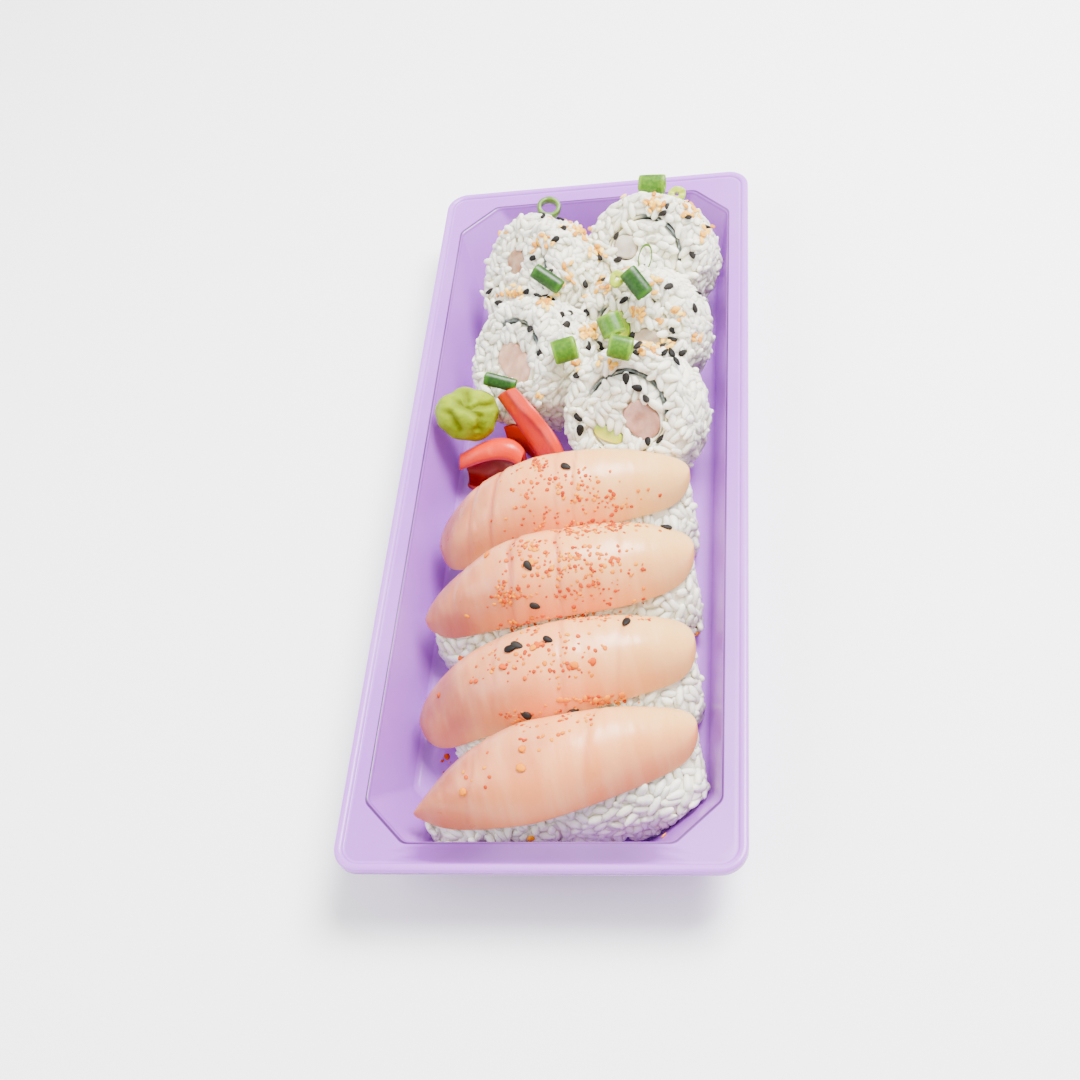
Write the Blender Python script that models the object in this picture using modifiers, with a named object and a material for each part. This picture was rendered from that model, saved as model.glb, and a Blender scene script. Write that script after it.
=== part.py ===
"""Takeaway sushi tray: a shallow plastic tray with four nigiri and five inside-out rolls.

Metres, +Z up. The origin is the middle of the tray's underside, +Y runs along its length
and +X across it. Small pieces touch nothing: each keeps a gap to its neighbours.
"""

import math
from collections import namedtuple

import bmesh
import bpy
import numpy as np
from mathutils import Euler, Matrix, Vector, noise
from mathutils.bvhtree import BVHTree

MM = 0.001
GAP = 0.3 * MM

# Tray
TRAY_LENGTH = 220 * MM
TRAY_WIDTH = 90.4 * MM
TRAY_HEIGHT = 20 * MM
SHEET = 0.8 * MM
OUTER_CORNER = 6 * MM
SKIRT = 2 * MM
BEAD_WIDTH = 1.3 * MM
BEAD_RISE = 0.5 * MM
FLANGE_SIDE = 5.9 * MM
FLANGE_END = 7.1 * MM
MOUTH_CHAMFER = 10 * MM
FLOOR_CHAMFER = 17.5 * MM
WALL_DRAFT = 4.5 * MM
FOOT_ROUND = 1.2 * MM

# Nigiri
FLOOR = SHEET + GAP
RIGHT_DROP = 9 * MM
SIDE_DROP = 7.2 * MM
FISH_THICKNESS = 5.4 * MM
RICE_CLEARANCE = 0.75 * MM
RICE_SET_BACK = 0.9 * MM
GRAIN_BUMP = 0.45 * MM
# Middle, turn in degrees, half sizes, height of the rice's crown and how far the left end
# droops; where the front and back edges end at the left and at the right, as shares of the
# half width, and from where they turn in at the right; the ends of fish and rice as shares of
# the half length. The first is beside the rolls and the last at the near end.
Nigiri = namedtuple("Nigiri", "x y turn half_width half_length crown left_drop "
                    "left_tip right_tip right_start fish_ends rice_ends")
NIGIRI = (
    Nigiri(-1.0 * MM, -12.1 * MM, 8.5, 11.1 * MM, 33 * MM, 29.0 * MM, 17.2 * MM,
           (1.0, 0.65), (0.25, 0.70), 0.05, (-1.0, 0.99), (-0.74, 0.95)),
    Nigiri(-0.2 * MM, -36.3 * MM, 10.1, 11.8 * MM, 34 * MM, 29.2 * MM, 15.6 * MM,
           (0.40, 0.32), (0.30, 0.75), 0.23, (-1.0, 0.99), (-0.93, 0.94)),
    Nigiri(0.6 * MM, -62.2 * MM, 12.0, 12.1 * MM, 34 * MM, 27.6 * MM, 18.8 * MM,
           (0.56, 0.69), (0.40, 0.77), -0.15, (-1.0, 0.99), (-0.76, 0.94)),
    Nigiri(3.2 * MM, -87.3 * MM, 12.3, 12.1 * MM, 32.6 * MM, 28.8 * MM, 11.2 * MM,
           (0.28, -0.08), (0.10, 0.82), -0.3, (-1.0, 1.0), (-0.92, 0.96)),
)
# Black sesame seeds along and across each slice
FISH_SEEDS = (
    ((1, 4),),
    ((24, 8), (-7, 0.5), (-7, -8.5)),
    ((18, 8), (1, 4.5), (-8, 4)),
    ((-3, 8.5), (7, 8.5)),
)
FLAKES_EACH = 3

# Rolls
NORI_RADIUS = 11.2 * MM
NORI_THICKNESS = 0.7 * MM
ROLL_COLUMNS = 28
ROLL_EDGE = 1.4 * MM
SEEDS_EACH = 9
SEED_SIZE = Vector((1.6 * MM, 1.0 * MM, 0.6 * MM))
FLAKE_SIZE = Vector((1.0 * MM, 0.8 * MM, 0.5 * MM))
# Middle X and Y, azimuth and lean of the cut face in degrees, radius, thickness
ROLLS = (
    (16.6 * MM, 17.2 * MM, 250, 46, 17.4 * MM, 17 * MM),
    (17.2 * MM, 45.8 * MM, 246, 46, 17.0 * MM, 17 * MM),
    (-12.2 * MM, 36.8 * MM, 214, 42, 16.9 * MM, 17 * MM),
    (18.6 * MM, 75.0 * MM, 247, 49, 17.4 * MM, 17 * MM),
    (-13.2 * MM, 70.4 * MM, 214, 42, 16.9 * MM, 16 * MM),
)
ROLL_OUT_OF_ROUND = 0.012
CORE_DOME = 0.9 * MM
# Fillings in each roll's face: middle, half sizes and turn in degrees; 1 keeps them oval and
# less squares them off
FISH_STRIPS = (
    (4.4 * MM, -0.6 * MM, 5.4 * MM, 4.2 * MM, -35),
    (4.6 * MM, -1.0 * MM, 4.2 * MM, 3.2 * MM, 20),
    (1.6 * MM, 0.4 * MM, 7.2 * MM, 4.4 * MM, 6),
    (-5.6 * MM, 1.4 * MM, 3.4 * MM, 3.4 * MM, 10),
    (-4.0 * MM, 1.8 * MM, 3.8 * MM, 3.3 * MM, -20),
)
AVOCADO_STRIPS = {
    0: (-3.8 * MM, -6.1 * MM, 4.2 * MM, 1.9 * MM, -8),
    1: (-4.6 * MM, 1.2 * MM, 4.4 * MM, 3.0 * MM, -50),
}
FILLING_ROUNDNESS = 0.75
# Which rolls a roll is pressed against and gives way to
PRESSED_BY = {1: (0,), 2: (0, 1), 3: (1,), 4: (2, 3)}

# Wasabi and pickled ginger
WASABI_MIDDLE = Vector((-29.0 * MM, 19.7 * MM, 20.3 * MM))
WASABI_SIZE = Vector((8.6 * MM, 7.1 * MM, 7.3 * MM))
RIBBON_THICKNESS = 1.1 * MM
# Each slice of ginger is a smooth sheet through rows of points across it: a band that leans
# on the rolls, a strip that stands on its edge in an arch, and a fold open to the front
GINGER = (
    (((-20.6, 23.8, 22.2), (-18.0, 22.8, 25.2), (-15.1, 22.8, 26.2)),
     ((-16.4, 18.8, 18.3), (-13.4, 17.5, 21.9), (-9.6, 17.4, 22.4)),
     ((-12.3, 13.8, 13.7), (-8.8, 13.3, 18.2), (-5.6, 13.0, 18.2)),
     ((-7.8, 7.8, 7.7), (-5.3, 7.8, 13.6), (-2.7, 8.3, 13.2))),
    (((-20.4, 20.4, 13.8), (-20.2, 19.7, 10.6), (-20.0, 18.9, 7.6)),
     ((-14.9, 19.0, 14.2), (-15.0, 18.0, 10.4), (-15.2, 17.0, 7.0)),
     ((-10.9, 14.9, 11.6), (-11.5, 14.1, 8.2), (-12.1, 13.3, 5.4)),
     ((-9.9, 9.7, 8.0), (-10.5, 9.3, 5.8), (-11.1, 8.9, 3.6))),
    (((-31.0, 9.0, 4.2), (-31.8, 13.0, 3.9), (-32.2, 14.5, 8.0), (-31.8, 12.3, 12.2),
      (-32.0, 9.0, 10.5)),
     ((-28.0, 7.5, 3.9), (-27.0, 13.4, 3.5), (-26.5, 16.0, 9.0), (-26.0, 13.6, 14.6),
      (-27.3, 9.0, 12.5)),
     ((-21.5, 7.5, 4.4), (-20.5, 13.4, 4.2), (-20.4, 16.4, 9.8), (-19.5, 14.4, 15.4),
      (-21.0, 9.4, 13.5)),
     ((-16.0, 6.5, 5.0), (-14.9, 10.4, 4.6), (-14.9, 12.8, 8.8), (-14.5, 11.8, 13.0),
      (-15.5, 8.0, 11.6))),
)
GINGER_ROWS = 9
GINGER_COLUMNS = 5

# Spring onion: name, middle, radius, wall and length in millimetres, squash, turns in degrees
ONIONS = (
    ("ring_far_left", (-10.5, 87.5, 30.8), 3.5, 1.3, 2.8, 0.9, (23, 10, 5)),
    ("slice_dark_left", (-8.3, 56.6, 32.4), 2.2, 1.2, 9.0, 0.7, (121, -30, 46)),
    ("tube_far_right", (19.0, 92.8, 31.6), 2.8, 1.1, 7.6, 0.6, (90, -50, 85)),
    ("ring_pale_right", (26.1, 88.8, 30.6), 2.6, 2.0, 2.6, 0.85, (40, -6, 16)),
    ("loop_thin", (18.1, 63.8, 30.6), 3.9, 0.7, 1.4, 0.5, (21, -44, 71)),
    ("slice_pointed", (17.5, 45.6, 38.8), 2.5, 1.2, 8.2, 0.5, (125, -20, 29)),
    ("slice_yellow", (12.2, 48.5, 38.0), 2.3, 1.8, 2.4, 0.85, (28, -26, 53)),
    ("tube_middle_back", (10.1, 38.7, 31.0), 3.2, 1.2, 5.8, 0.6, (121, -8, 19)),
    ("tube_middle_front", (14.8, 21.1, 40.4), 3.0, 1.2, 6.0, 0.55, (102, -40, 69)),
    ("tube_between", (-0.5, 26.1, 35.6), 3.1, 1.2, 6.2, 0.6, (78, -45, 107)),
    ("slice_dark_low", (-19.5, 25.1, 26.4), 1.8, 0.9, 8.6, 0.6, (112, -37, 68)),
)


def clear_scene():
    """Removes every object, so that the model starts from nothing."""
    for old in list(bpy.data.objects):
        bpy.data.objects.remove(old, do_unlink=True)


def new_collection(name):
    """A collection in the scene for objects that stay."""
    group = bpy.data.collections.new(name)
    bpy.context.scene.collection.children.link(group)
    return group


def plastic(name, colour, roughness):
    """A Principled material with one colour, for a part that is not metal."""
    made = bpy.data.materials.new(name)
    made.use_nodes = True
    shader = made.node_tree.nodes["Principled BSDF"]
    shader.inputs["Base Color"].default_value = (*colour, 1.0)
    shader.inputs["Roughness"].default_value = roughness
    shader.inputs["Metallic"].default_value = 0.0
    made.diffuse_color = (*colour, 1.0)
    return made


def grain(point, size, seed):
    """Uneven height between -1 and 1 at a point, for bumps as large as a rice grain."""
    scaled = Vector(point) / size + Vector((seed * 17.3, seed * 5.1, seed * 9.7))
    return noise.noise(scaled) * 1.6


def mesh_object(name, work, material, group):
    """Turns a bmesh into a smooth-shaded object in a collection."""
    bmesh.ops.recalc_face_normals(work, faces=work.faces)
    data = bpy.data.meshes.new(name)
    work.to_mesh(data)
    work.free()
    data.shade_smooth()
    data.set_sharp_from_angle(angle=math.radians(40))
    if material is not None:
        data.materials.append(material)
    made = bpy.data.objects.new(name, data)
    group.objects.link(made)
    return made


def skin(sections, closed=False, start_cap=True, end_cap=True):
    """Skins equal loops of points in order; a closed skin also joins the last to the first."""
    work = bmesh.new()
    rows = [[work.verts.new(point) for point in loop] for loop in sections]
    count = len(rows[0])
    for number in range(len(rows) if closed else len(rows) - 1):
        here = rows[number]
        there = rows[(number + 1) % len(rows)]
        for k in range(count):
            after = (k + 1) % count
            work.faces.new((here[k], here[after], there[after], there[k]))
    if not closed and start_cap:
        work.faces.new(list(reversed(rows[0])))
    if not closed and end_cap:
        work.faces.new(rows[-1])
    return work


def strip(rows):
    """An open sheet of quads through a grid of points."""
    work = bmesh.new()
    grid = [[work.verts.new(point) for point in row] for row in rows]
    for here, there in zip(grid, grid[1:]):
        for k in range(len(here) - 1):
            work.faces.new((here[k], here[k + 1], there[k + 1], there[k]))
    return work


def apply_modifiers(made):
    """Replaces an object's mesh by the one its modifiers give."""
    graph = bpy.context.evaluated_depsgraph_get()
    data = bpy.data.meshes.new_from_object(made.evaluated_get(graph))
    made.modifiers.clear()
    made.data = data


def fuse(made, bits):
    """Joins small pieces to their base by one union and removes them."""
    group = bpy.data.collections.new("bits")
    for bit in bits:
        group.objects.link(bit)
    join = made.modifiers.new("fused", "BOOLEAN")
    join.operation = "UNION"
    join.operand_type = "COLLECTION"
    join.collection = group
    apply_modifiers(made)
    for bit in bits:
        bpy.data.objects.remove(bit, do_unlink=True)
    bpy.data.collections.remove(group)


def cut(made, cutter, operation="DIFFERENCE"):
    """Cuts an object with a closed cutter, or keeps what lies inside it by INTERSECT."""
    step = made.modifiers.new("cut", "BOOLEAN")
    step.operation = operation
    step.object = cutter


def bit_on(tree, above, downward, size, spin):
    """A flat seed or flake of twenty faces, lying where a ray meets a surface."""
    spot, normal = tree.ray_cast(above, downward)[:2]
    lie = normal.to_track_quat("Z", "Y").to_matrix().to_4x4()
    place = Matrix.Translation(spot) @ lie @ Matrix.Rotation(spin, 4, "Z")
    work = bmesh.new()
    bmesh.ops.create_icosphere(work, subdivisions=1, radius=1.0)
    bmesh.ops.transform(work, matrix=place @ Matrix.Diagonal((*size, 1.0)), verts=work.verts)
    data = bpy.data.meshes.new("bit")
    work.to_mesh(data)
    work.free()
    return bpy.data.objects.new("bit", data)


def surface_tree(made):
    """Ray-casting tree of an object's own mesh."""
    points = [vert.co for vert in made.data.vertices]
    return BVHTree.FromPolygons(points, [face.vertices for face in made.data.polygons])


def corner_loop(half_x, half_y, chamfer, round_radius, z):
    """Rectangle outline with four corners, each two arcs with a straight chamfer between."""
    points = []
    shift = round_radius * math.tan(math.radians(22.5))
    for corner in range(4):
        swap = corner % 2 == 1
        reach = (half_y, half_x) if swap else (half_x, half_y)
        first = (reach[0] - round_radius, reach[1] - chamfer - shift)
        second = (reach[0] - chamfer - shift, reach[1] - round_radius)
        turn = Matrix.Rotation(math.radians(90 * corner), 2)
        for middle, angles in ((first, (0, 19, 38)), (second, (52, 71, 90))):
            for angle in angles:
                reach_x = middle[0] + round_radius * math.cos(math.radians(angle))
                reach_y = middle[1] + round_radius * math.sin(math.radians(angle))
                flat = turn @ Vector((reach_x, reach_y))
                points.append((flat.x, flat.y, z))
    return points


def rim_loop(inset, z):
    """Outline of the rounded outer rim, moved in by an inset."""
    radius = OUTER_CORNER - inset
    blend = radius * (1 - math.tan(math.radians(22.5)))
    return corner_loop(TRAY_WIDTH / 2 - inset, TRAY_LENGTH / 2 - inset, blend, radius, z)


def mouth_loop(depth_share, inset, z):
    """Eight-sided outline of the hollow, from the mouth at 0 to the floor at 1."""
    lean = WALL_DRAFT * depth_share + inset
    chamfer = MOUTH_CHAMFER + (FLOOR_CHAMFER - MOUTH_CHAMFER) * depth_share
    half_x = TRAY_WIDTH / 2 - FLANGE_SIDE - lean
    half_y = TRAY_LENGTH / 2 - FLANGE_END - lean
    return corner_loop(half_x, half_y, chamfer, 3 * MM, z)


def build_tray(material, group):
    """The tray: a thin sheet from the turned-down skirt over the bead to the flat floor."""
    top = TRAY_HEIGHT
    flat = top - BEAD_RISE
    loops = [
        rim_loop(0, top - SKIRT),
        rim_loop(0, top - 0.4 * BEAD_WIDTH),
        rim_loop(0.35 * BEAD_WIDTH, top),
        rim_loop(BEAD_WIDTH, top),
        rim_loop(BEAD_WIDTH + BEAD_RISE, flat),
        mouth_loop(0, -0.5 * MM, flat),
        mouth_loop(0, 0.1 * MM, flat - 0.6 * MM),
        mouth_loop(0.95, 0, SHEET + FOOT_ROUND),
        mouth_loop(1, 0.2 * FOOT_ROUND, SHEET + 0.25 * FOOT_ROUND),
        mouth_loop(1, FOOT_ROUND, SHEET),
    ]
    made = mesh_object("tray", skin(loops, start_cap=False), material, group)
    if made.data.polygons[-1].normal.z < 0:
        made.data.flip_normals()
    shell = made.modifiers.new("sheet", "SOLIDIFY")
    shell.thickness = SHEET
    shell.offset = -1
    shell.use_even_offset = True
    return made


def build_hollow_guide(group):
    """A closed block that fills the tray's hollow, a gap clear of its floor and walls."""
    above = 3 * TRAY_HEIGHT
    loops = [
        mouth_loop(1, FOOT_ROUND + GAP, SHEET + 0.5 * GAP),
        mouth_loop(0.95, 2 * GAP, SHEET + FOOT_ROUND),
        mouth_loop(0, 2 * GAP, TRAY_HEIGHT),
        mouth_loop(0, 2 * GAP, above),
    ]
    made = mesh_object("hollow_guide", skin(loops), None, group)
    made.hide_render = True
    made.display_type = "WIRE"
    return made


def crown_height(row, share):
    """Height of the slice's underside along its middle line; share runs from -1 to 1."""
    if share < 0:
        return row.crown - row.left_drop * (-share) ** 2.2
    return row.crown - RIGHT_DROP * share ** 2.4


def slice_edges(row, share):
    """Places of the slice's front and back edges, which turn in towards both ends."""
    left = max(0.0, (-share - 0.1) / 0.9) ** 1.8
    right = max(0.0, (share - row.right_start) / (1 - row.right_start)) ** 2
    reach = [row.half_width * (1 - (1 - row.left_tip[side]) * left
                               - (1 - row.right_tip[side]) * right) for side in (0, 1)]
    return -reach[0], reach[1]


def under_height(row, share, aside):
    """Height of the slice's underside at a place across it, which drops to both sides."""
    front, back = slice_edges(row, share)
    across = (aside - (front + back) / 2) / ((back - front) / 2)
    drop = SIDE_DROP * (1 - 0.45 * abs(share) ** 3)
    return crown_height(row, share) - drop * min(1.0, abs(across)) ** 2.3


def slice_section(number, share, shrink=1.0):
    """One closed loop round the slice: its crowned top, then its hollow underside."""
    row = NIGIRI[number]
    front, back = slice_edges(row, share)
    middle, width = (front + back) / 2, (back - front) / 2 * shrink
    thickness = FISH_THICKNESS * (1 - 0.42 * abs(share) ** 3)
    loop = []
    for across in (-1, -0.84, -0.56, -0.2, 0.2, 0.56, 0.84, 1):
        point = Vector((share * row.half_length, middle + across * width, 0))
        edge = 1 - 0.62 * abs(across) ** 5
        uneven = 0.35 * MM * grain(point, 9 * MM, number)
        point.z = under_height(row, share, point.y) + thickness * edge * shrink + uneven
        loop.append(point)
    for across in (0.96, 0.6, 0.2, -0.2, -0.6, -0.96):
        aside = middle + across * width
        loop.append(Vector((share * row.half_length, aside, under_height(row, share, aside))))
    return loop


def build_slice(number, material, group):
    """A slice of fish over its rice, with its seeds and flakes fused on."""
    row = NIGIRI[number]
    start, end = row.fish_ends
    loops = [slice_section(number, start, 0.7)]
    for step in (0.015, 0.06, 0.14, 0.25, 0.37, 0.5, 0.63, 0.76, 0.87, 0.95, 0.985):
        loops.append(slice_section(number, start + (end - start) * step))
    loops.append(slice_section(number, end, 0.8))
    made = mesh_object(f"nigiri_fish_{number + 1}", skin(loops), material, group)
    tree = surface_tree(made)
    down = Vector((0, 0, -1))
    random = np.random.default_rng(40 + number)
    bits = []
    for along, across in FISH_SEEDS[number]:
        above = Vector((along * MM, across * MM, 2 * row.crown))
        bits.append(bit_on(tree, above, down, SEED_SIZE, along))
    for flake in range(FLAKES_EACH):
        share = -0.6 + 1.2 * (flake + random.uniform(0.2, 0.8)) / FLAKES_EACH
        across = random.uniform(-0.6, 0.35) * row.half_width
        above = Vector((share * row.half_length, across, 2 * row.crown))
        bits.append(bit_on(tree, above, down, FLAKE_SIZE, flake))
    fuse(made, bits)
    made.location = (row.x, row.y, 0)
    made.rotation_euler = (0, 0, math.radians(row.turn))
    return made


def build_nigiri_rice(number, material, group):
    """The pressed rice under a slice, bumpy by grain on its sides and ends."""
    row = NIGIRI[number]
    start, end = row.rice_ends
    steps = 14
    loops = []
    for step in range(steps + 1):
        share = start + (end - start) * step / steps
        near_end = min(1.0, max(0.0, min(share - start, end - share)) / 0.14)
        shrink = 0.62 + 0.38 * math.sqrt(1 - (1 - near_end) ** 2)
        taper = max(0.0, (-share - 0.3) / 0.7)
        width = (row.half_width - RICE_SET_BACK) * (1 - 0.3 * taper ** 2) * shrink
        front, back = slice_edges(row, share)
        middle = 0.7 * (front + back) / 2 * taper
        length = share * row.half_length
        loop = []
        ends = (middle - 0.95 * width, middle + 0.95 * width)
        covered = (max(front, ends[0] + MM), min(back, ends[1] - MM))
        inside = [covered[0] + (covered[1] - covered[0]) * at for at in (0, 0.22, 0.5, 0.78, 1)]
        for aside in (ends[0], *inside, ends[1]):
            height = under_height(row, share, aside) - RICE_CLEARANCE - (1 - shrink) * 6 * MM
            loop.append(Vector((length, aside, max(height, 4 * FLOOR))))
        top = min(loop[0].z, loop[-1].z) - FLOOR
        for side, rise in ((0.99, 0.66), (1.0, 0.33), (0.9, 0.0),
                           (-0.9, 0.0), (-1.0, 0.33), (-0.99, 0.66)):
            point = Vector((length, middle + side * width, FLOOR + rise * top))
            swell = GRAIN_BUMP * grain(point, 2.6 * MM, number)
            if rise > 0:
                point.y += math.copysign(swell, side)
                point.x += swell
            loop.append(point)
        loops.append(loop)
    made = mesh_object(f"nigiri_rice_{number + 1}", skin(loops), material, group)
    made.location = (row.x, row.y, 0)
    made.rotation_euler = (0, 0, math.radians(row.turn))
    return made


def roll_place(number):
    """Placement of a roll: its local Z is the outward normal of its upper cut face."""
    middle_x, middle_y, azimuth, lean, radius, thickness = ROLLS[number]
    turn, rise = math.radians(azimuth), math.radians(lean)
    normal = Vector((math.cos(turn) * math.cos(rise), math.sin(turn) * math.cos(rise), math.sin(rise)))
    level = Vector((-math.sin(turn), math.cos(turn), 0))
    upward = normal.cross(level)
    lowest = (radius + GRAIN_BUMP) * math.cos(rise) + thickness / 2 * math.sin(rise)
    middle = Vector((middle_x, middle_y, FLOOR + GAP + lowest))
    axes = Matrix((level, upward, normal)).transposed()
    return Matrix.Translation(middle) @ axes.to_4x4()


def roll_depth(point, number):
    """How far outside a roll a world point lies; negative inside it."""
    local = roll_place(number).inverted() @ point
    radius, thickness = ROLLS[number][4:6]
    return max(math.hypot(local.x, local.y) - radius, abs(local.z) - thickness / 2)


def roll_seeds(number, tree):
    """Seeds on the upper side and cut face of a roll, clear of neighbours and garnish."""
    radius, thickness = ROLLS[number][4:6]
    place = roll_place(number)
    random = np.random.default_rng(70 + number)
    garnish = [Vector(onion[1]) * MM for onion in ONIONS]
    garnish.append(WASABI_MIDDLE)
    chosen = []
    for _ in range(900):
        angle = random.uniform(0, 2 * math.pi)
        if random.uniform() < 0.45:
            ring = random.uniform(NORI_RADIUS + 2.2 * MM, radius - 2.0 * MM)
            local = Vector((ring * math.cos(angle), ring * math.sin(angle), thickness / 2))
            normal = Vector((0, 0, 1))
        else:
            rise = random.uniform(-0.36, 0.36) * thickness
            local = Vector((radius * math.cos(angle), radius * math.sin(angle), rise))
            normal = Vector((math.cos(angle), math.sin(angle), 0))
        world = place @ local
        outward = place.to_3x3() @ normal
        if outward.z < 0.3:
            continue
        if any((world - other).length < 7.5 * MM for other in garnish):
            continue
        if any(roll_depth(world, k) < 2.6 * MM for k in range(len(ROLLS)) if k != number):
            continue
        if any((local - seed[0]).length < 4.6 * MM for seed in chosen):
            continue
        chosen.append((local, normal, random.uniform(0, math.pi)))
        if len(chosen) == SEEDS_EACH:
            break
    return [bit_on(tree, local + normal * 5 * MM, -normal, SEED_SIZE, spin)
            for local, normal, spin in chosen]


def build_roll_rice(number, material, group, cutters):
    """Outer rice of a roll: a ring lofted round the nori, uneven by grain, seeds fused on."""
    radius, thickness = ROLLS[number][4:6]
    half = thickness / 2
    inner = NORI_RADIUS + GAP
    outline = (
        (inner, -half),
        (radius - ROLL_EDGE, -half),
        (radius, -half + ROLL_EDGE),
        (radius, -0.3 * half),
        (radius, 0.3 * half),
        (radius, half - ROLL_EDGE),
        (radius - ROLL_EDGE, half),
        ((radius + inner) / 2, half),
        (inner, half - 0.3 * MM),
    )
    loops = []
    for column in range(ROLL_COLUMNS):
        angle = 2 * math.pi * column / ROLL_COLUMNS
        loop = []
        waves = 2 + math.sin(2 * angle + 1.7 * number) + math.sin(3 * angle + 2.9 * number)
        squeeze = ROLL_OUT_OF_ROUND * waves
        for reach, height in outline:
            if reach > inner:
                reach -= radius * squeeze * (reach - inner) / (radius - inner)
            point = Vector((reach * math.cos(angle), reach * math.sin(angle), height))
            swell = GRAIN_BUMP * grain(point, 2.9 * MM, 10 + number)
            if abs(height) < half and reach > inner:
                point += Vector((math.cos(angle), math.sin(angle), 0)) * swell
            if height == half and reach > inner:
                point.z += swell
            loop.append(point)
        loops.append(loop)
    made = mesh_object(f"roll_rice_{number + 1}", skin(loops, closed=True), material, group)
    fuse(made, roll_seeds(number, surface_tree(made)))
    made.matrix_world = roll_place(number)
    for other in PRESSED_BY.get(number, ()):
        cut(made, cutters[other])
    return made


def build_roll_cutter(number, group):
    """A plain cylinder round a roll, for the dent that it leaves in the next one."""
    radius, thickness = ROLLS[number][4:6]
    reach = GRAIN_BUMP + GAP
    work = bmesh.new()
    bmesh.ops.create_cone(work, cap_ends=True, segments=40, radius1=radius + reach,
                          radius2=radius + reach, depth=thickness + 2 * reach)
    data = bpy.data.meshes.new(f"press_{number + 1}")
    work.to_mesh(data)
    work.free()
    made = bpy.data.objects.new(f"press_{number + 1}", data)
    made.matrix_world = roll_place(number)
    made.hide_render = True
    made.display_type = "WIRE"
    group.objects.link(made)
    return made


def build_nori(number, material, group):
    """The dark seaweed ring inside the outer rice, a thin wavy tube."""
    thickness = ROLLS[number][5]
    columns = 20
    loops = []
    for column in range(columns):
        angle = 2 * math.pi * column / columns
        wave = 0.35 * MM * math.sin(5 * angle + number)
        loop = []
        for reach, height in ((NORI_RADIUS, -0.94), (NORI_RADIUS, 0.97),
                              (NORI_RADIUS - NORI_THICKNESS, 0.97),
                              (NORI_RADIUS - NORI_THICKNESS, -0.94)):
            rise = height * thickness / 2 + (wave if height > 0 else 0)
            loop.append(Vector((reach * math.cos(angle), reach * math.sin(angle), rise)))
        loops.append(loop)
    made = mesh_object(f"roll_nori_{number + 1}", skin(loops, closed=True), material, group)
    made.matrix_world = roll_place(number)
    return made


def filling(name, shape, half_height, grow, material, group, place, seed):
    """A strip with an uneven section between oval and square that runs through a roll."""
    middle_x, middle_y, half_a, half_b, turn = shape
    columns = 12
    loops = []
    for height in (-half_height, half_height):
        loop = []
        for column in range(columns):
            angle = 2 * math.pi * column / columns
            way = Vector((math.cos(angle), math.sin(angle), 0))
            uneven = 1 + 0.08 * grain(way, 0.6, seed)
            square = [math.copysign(abs(reach) ** FILLING_ROUNDNESS, reach) for reach in way.xy]
            flat = Vector(((half_a * uneven + grow) * square[0],
                           (half_b * uneven + grow) * square[1]))
            flat.rotate(Matrix.Rotation(math.radians(turn), 2))
            loop.append(Vector((middle_x + flat.x, middle_y + flat.y, height)))
        loops.append(loop)
    made = mesh_object(name, skin(loops), material, group)
    made.matrix_world = place
    return made


def build_core(number, materials, group, cutters):
    """Inner rice of a roll with its strips of fish and avocado running through it."""
    half = ROLLS[number][5] / 2
    place = roll_place(number)
    radius = NORI_RADIUS - NORI_THICKNESS - GAP
    columns = 20
    loops = []
    for share, height in ((1.0, -half), (1.0, half - CORE_DOME),
                          (0.93, half - 0.2 * CORE_DOME), (0.55, half)):
        loop = []
        for column in range(columns):
            angle = 2 * math.pi * column / columns
            reach = radius * share
            point = Vector((reach * math.cos(angle), reach * math.sin(angle), height))
            if share < 1:
                point.z += 0.35 * MM * grain(point, 2.6 * MM, 30 + number)
            loop.append(point)
        loops.append(loop)
    made = mesh_object(f"roll_core_{number + 1}", skin(loops), materials["rice"], group)
    made.matrix_world = place
    strips = [("fish", FISH_STRIPS[number])]
    if number in AVOCADO_STRIPS:
        strips.append(("avocado", AVOCADO_STRIPS[number]))
    for kind, shape in strips:
        name = f"roll_{kind}_{number + 1}"
        filling(name, shape, half - 0.3 * MM, 0, materials[kind], group, place, number)
        hole = filling(f"hole_{kind}_{number + 1}", shape, half + 2 * MM, GAP, materials[kind],
                       cutters, place, number)
        hole.hide_render = True
        hole.display_type = "WIRE"
        cut(made, hole)
    return made


def build_wasabi(material, group):
    """A pinched lump of wasabi that leans on the cut face of a roll."""
    work = bmesh.new()
    bmesh.ops.create_icosphere(work, subdivisions=3, radius=1.0)
    for vert in work.verts:
        unit = vert.co.normalized()
        fold = 1 + 0.10 * grain(unit, 0.55, 3) + 0.04 * grain(unit, 0.25, 4)
        crease = 0.16 * math.exp(-((unit.x * 0.8 - unit.y * 0.5) / 0.14) ** 2) * max(0, unit.z)
        vert.co = Vector(a * b for a, b in zip(unit * (fold - crease), WASABI_SIZE))
    made = mesh_object("wasabi", work, material, group)
    made.location = WASABI_MIDDLE
    return made


def smooth_route(stops, steps):
    """Points along one cubic through four stops."""
    at = np.linspace(0, 1, len(stops))
    terms = [np.polyfit(at, axis, len(stops) - 1) for axis in np.array(stops, dtype=float).T]
    return [Vector([np.polyval(term, step / steps) for term in terms]) for step in range(steps + 1)]


def build_ginger(number, material, group):
    """A slice of pickled ginger: a thin sheet through the rows of points across it."""
    sides = [smooth_route(line, GINGER_ROWS) for line in zip(*GINGER[number])]
    sheet = [[point * MM for point in smooth_route(stops, GINGER_COLUMNS)]
             for stops in zip(*sides)]
    made = mesh_object(f"ginger_{number + 1}", strip(sheet), material, group)
    thickness = made.modifiers.new("thickness", "SOLIDIFY")
    thickness.thickness = RIBBON_THICKNESS
    thickness.offset = 0
    return made


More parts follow.
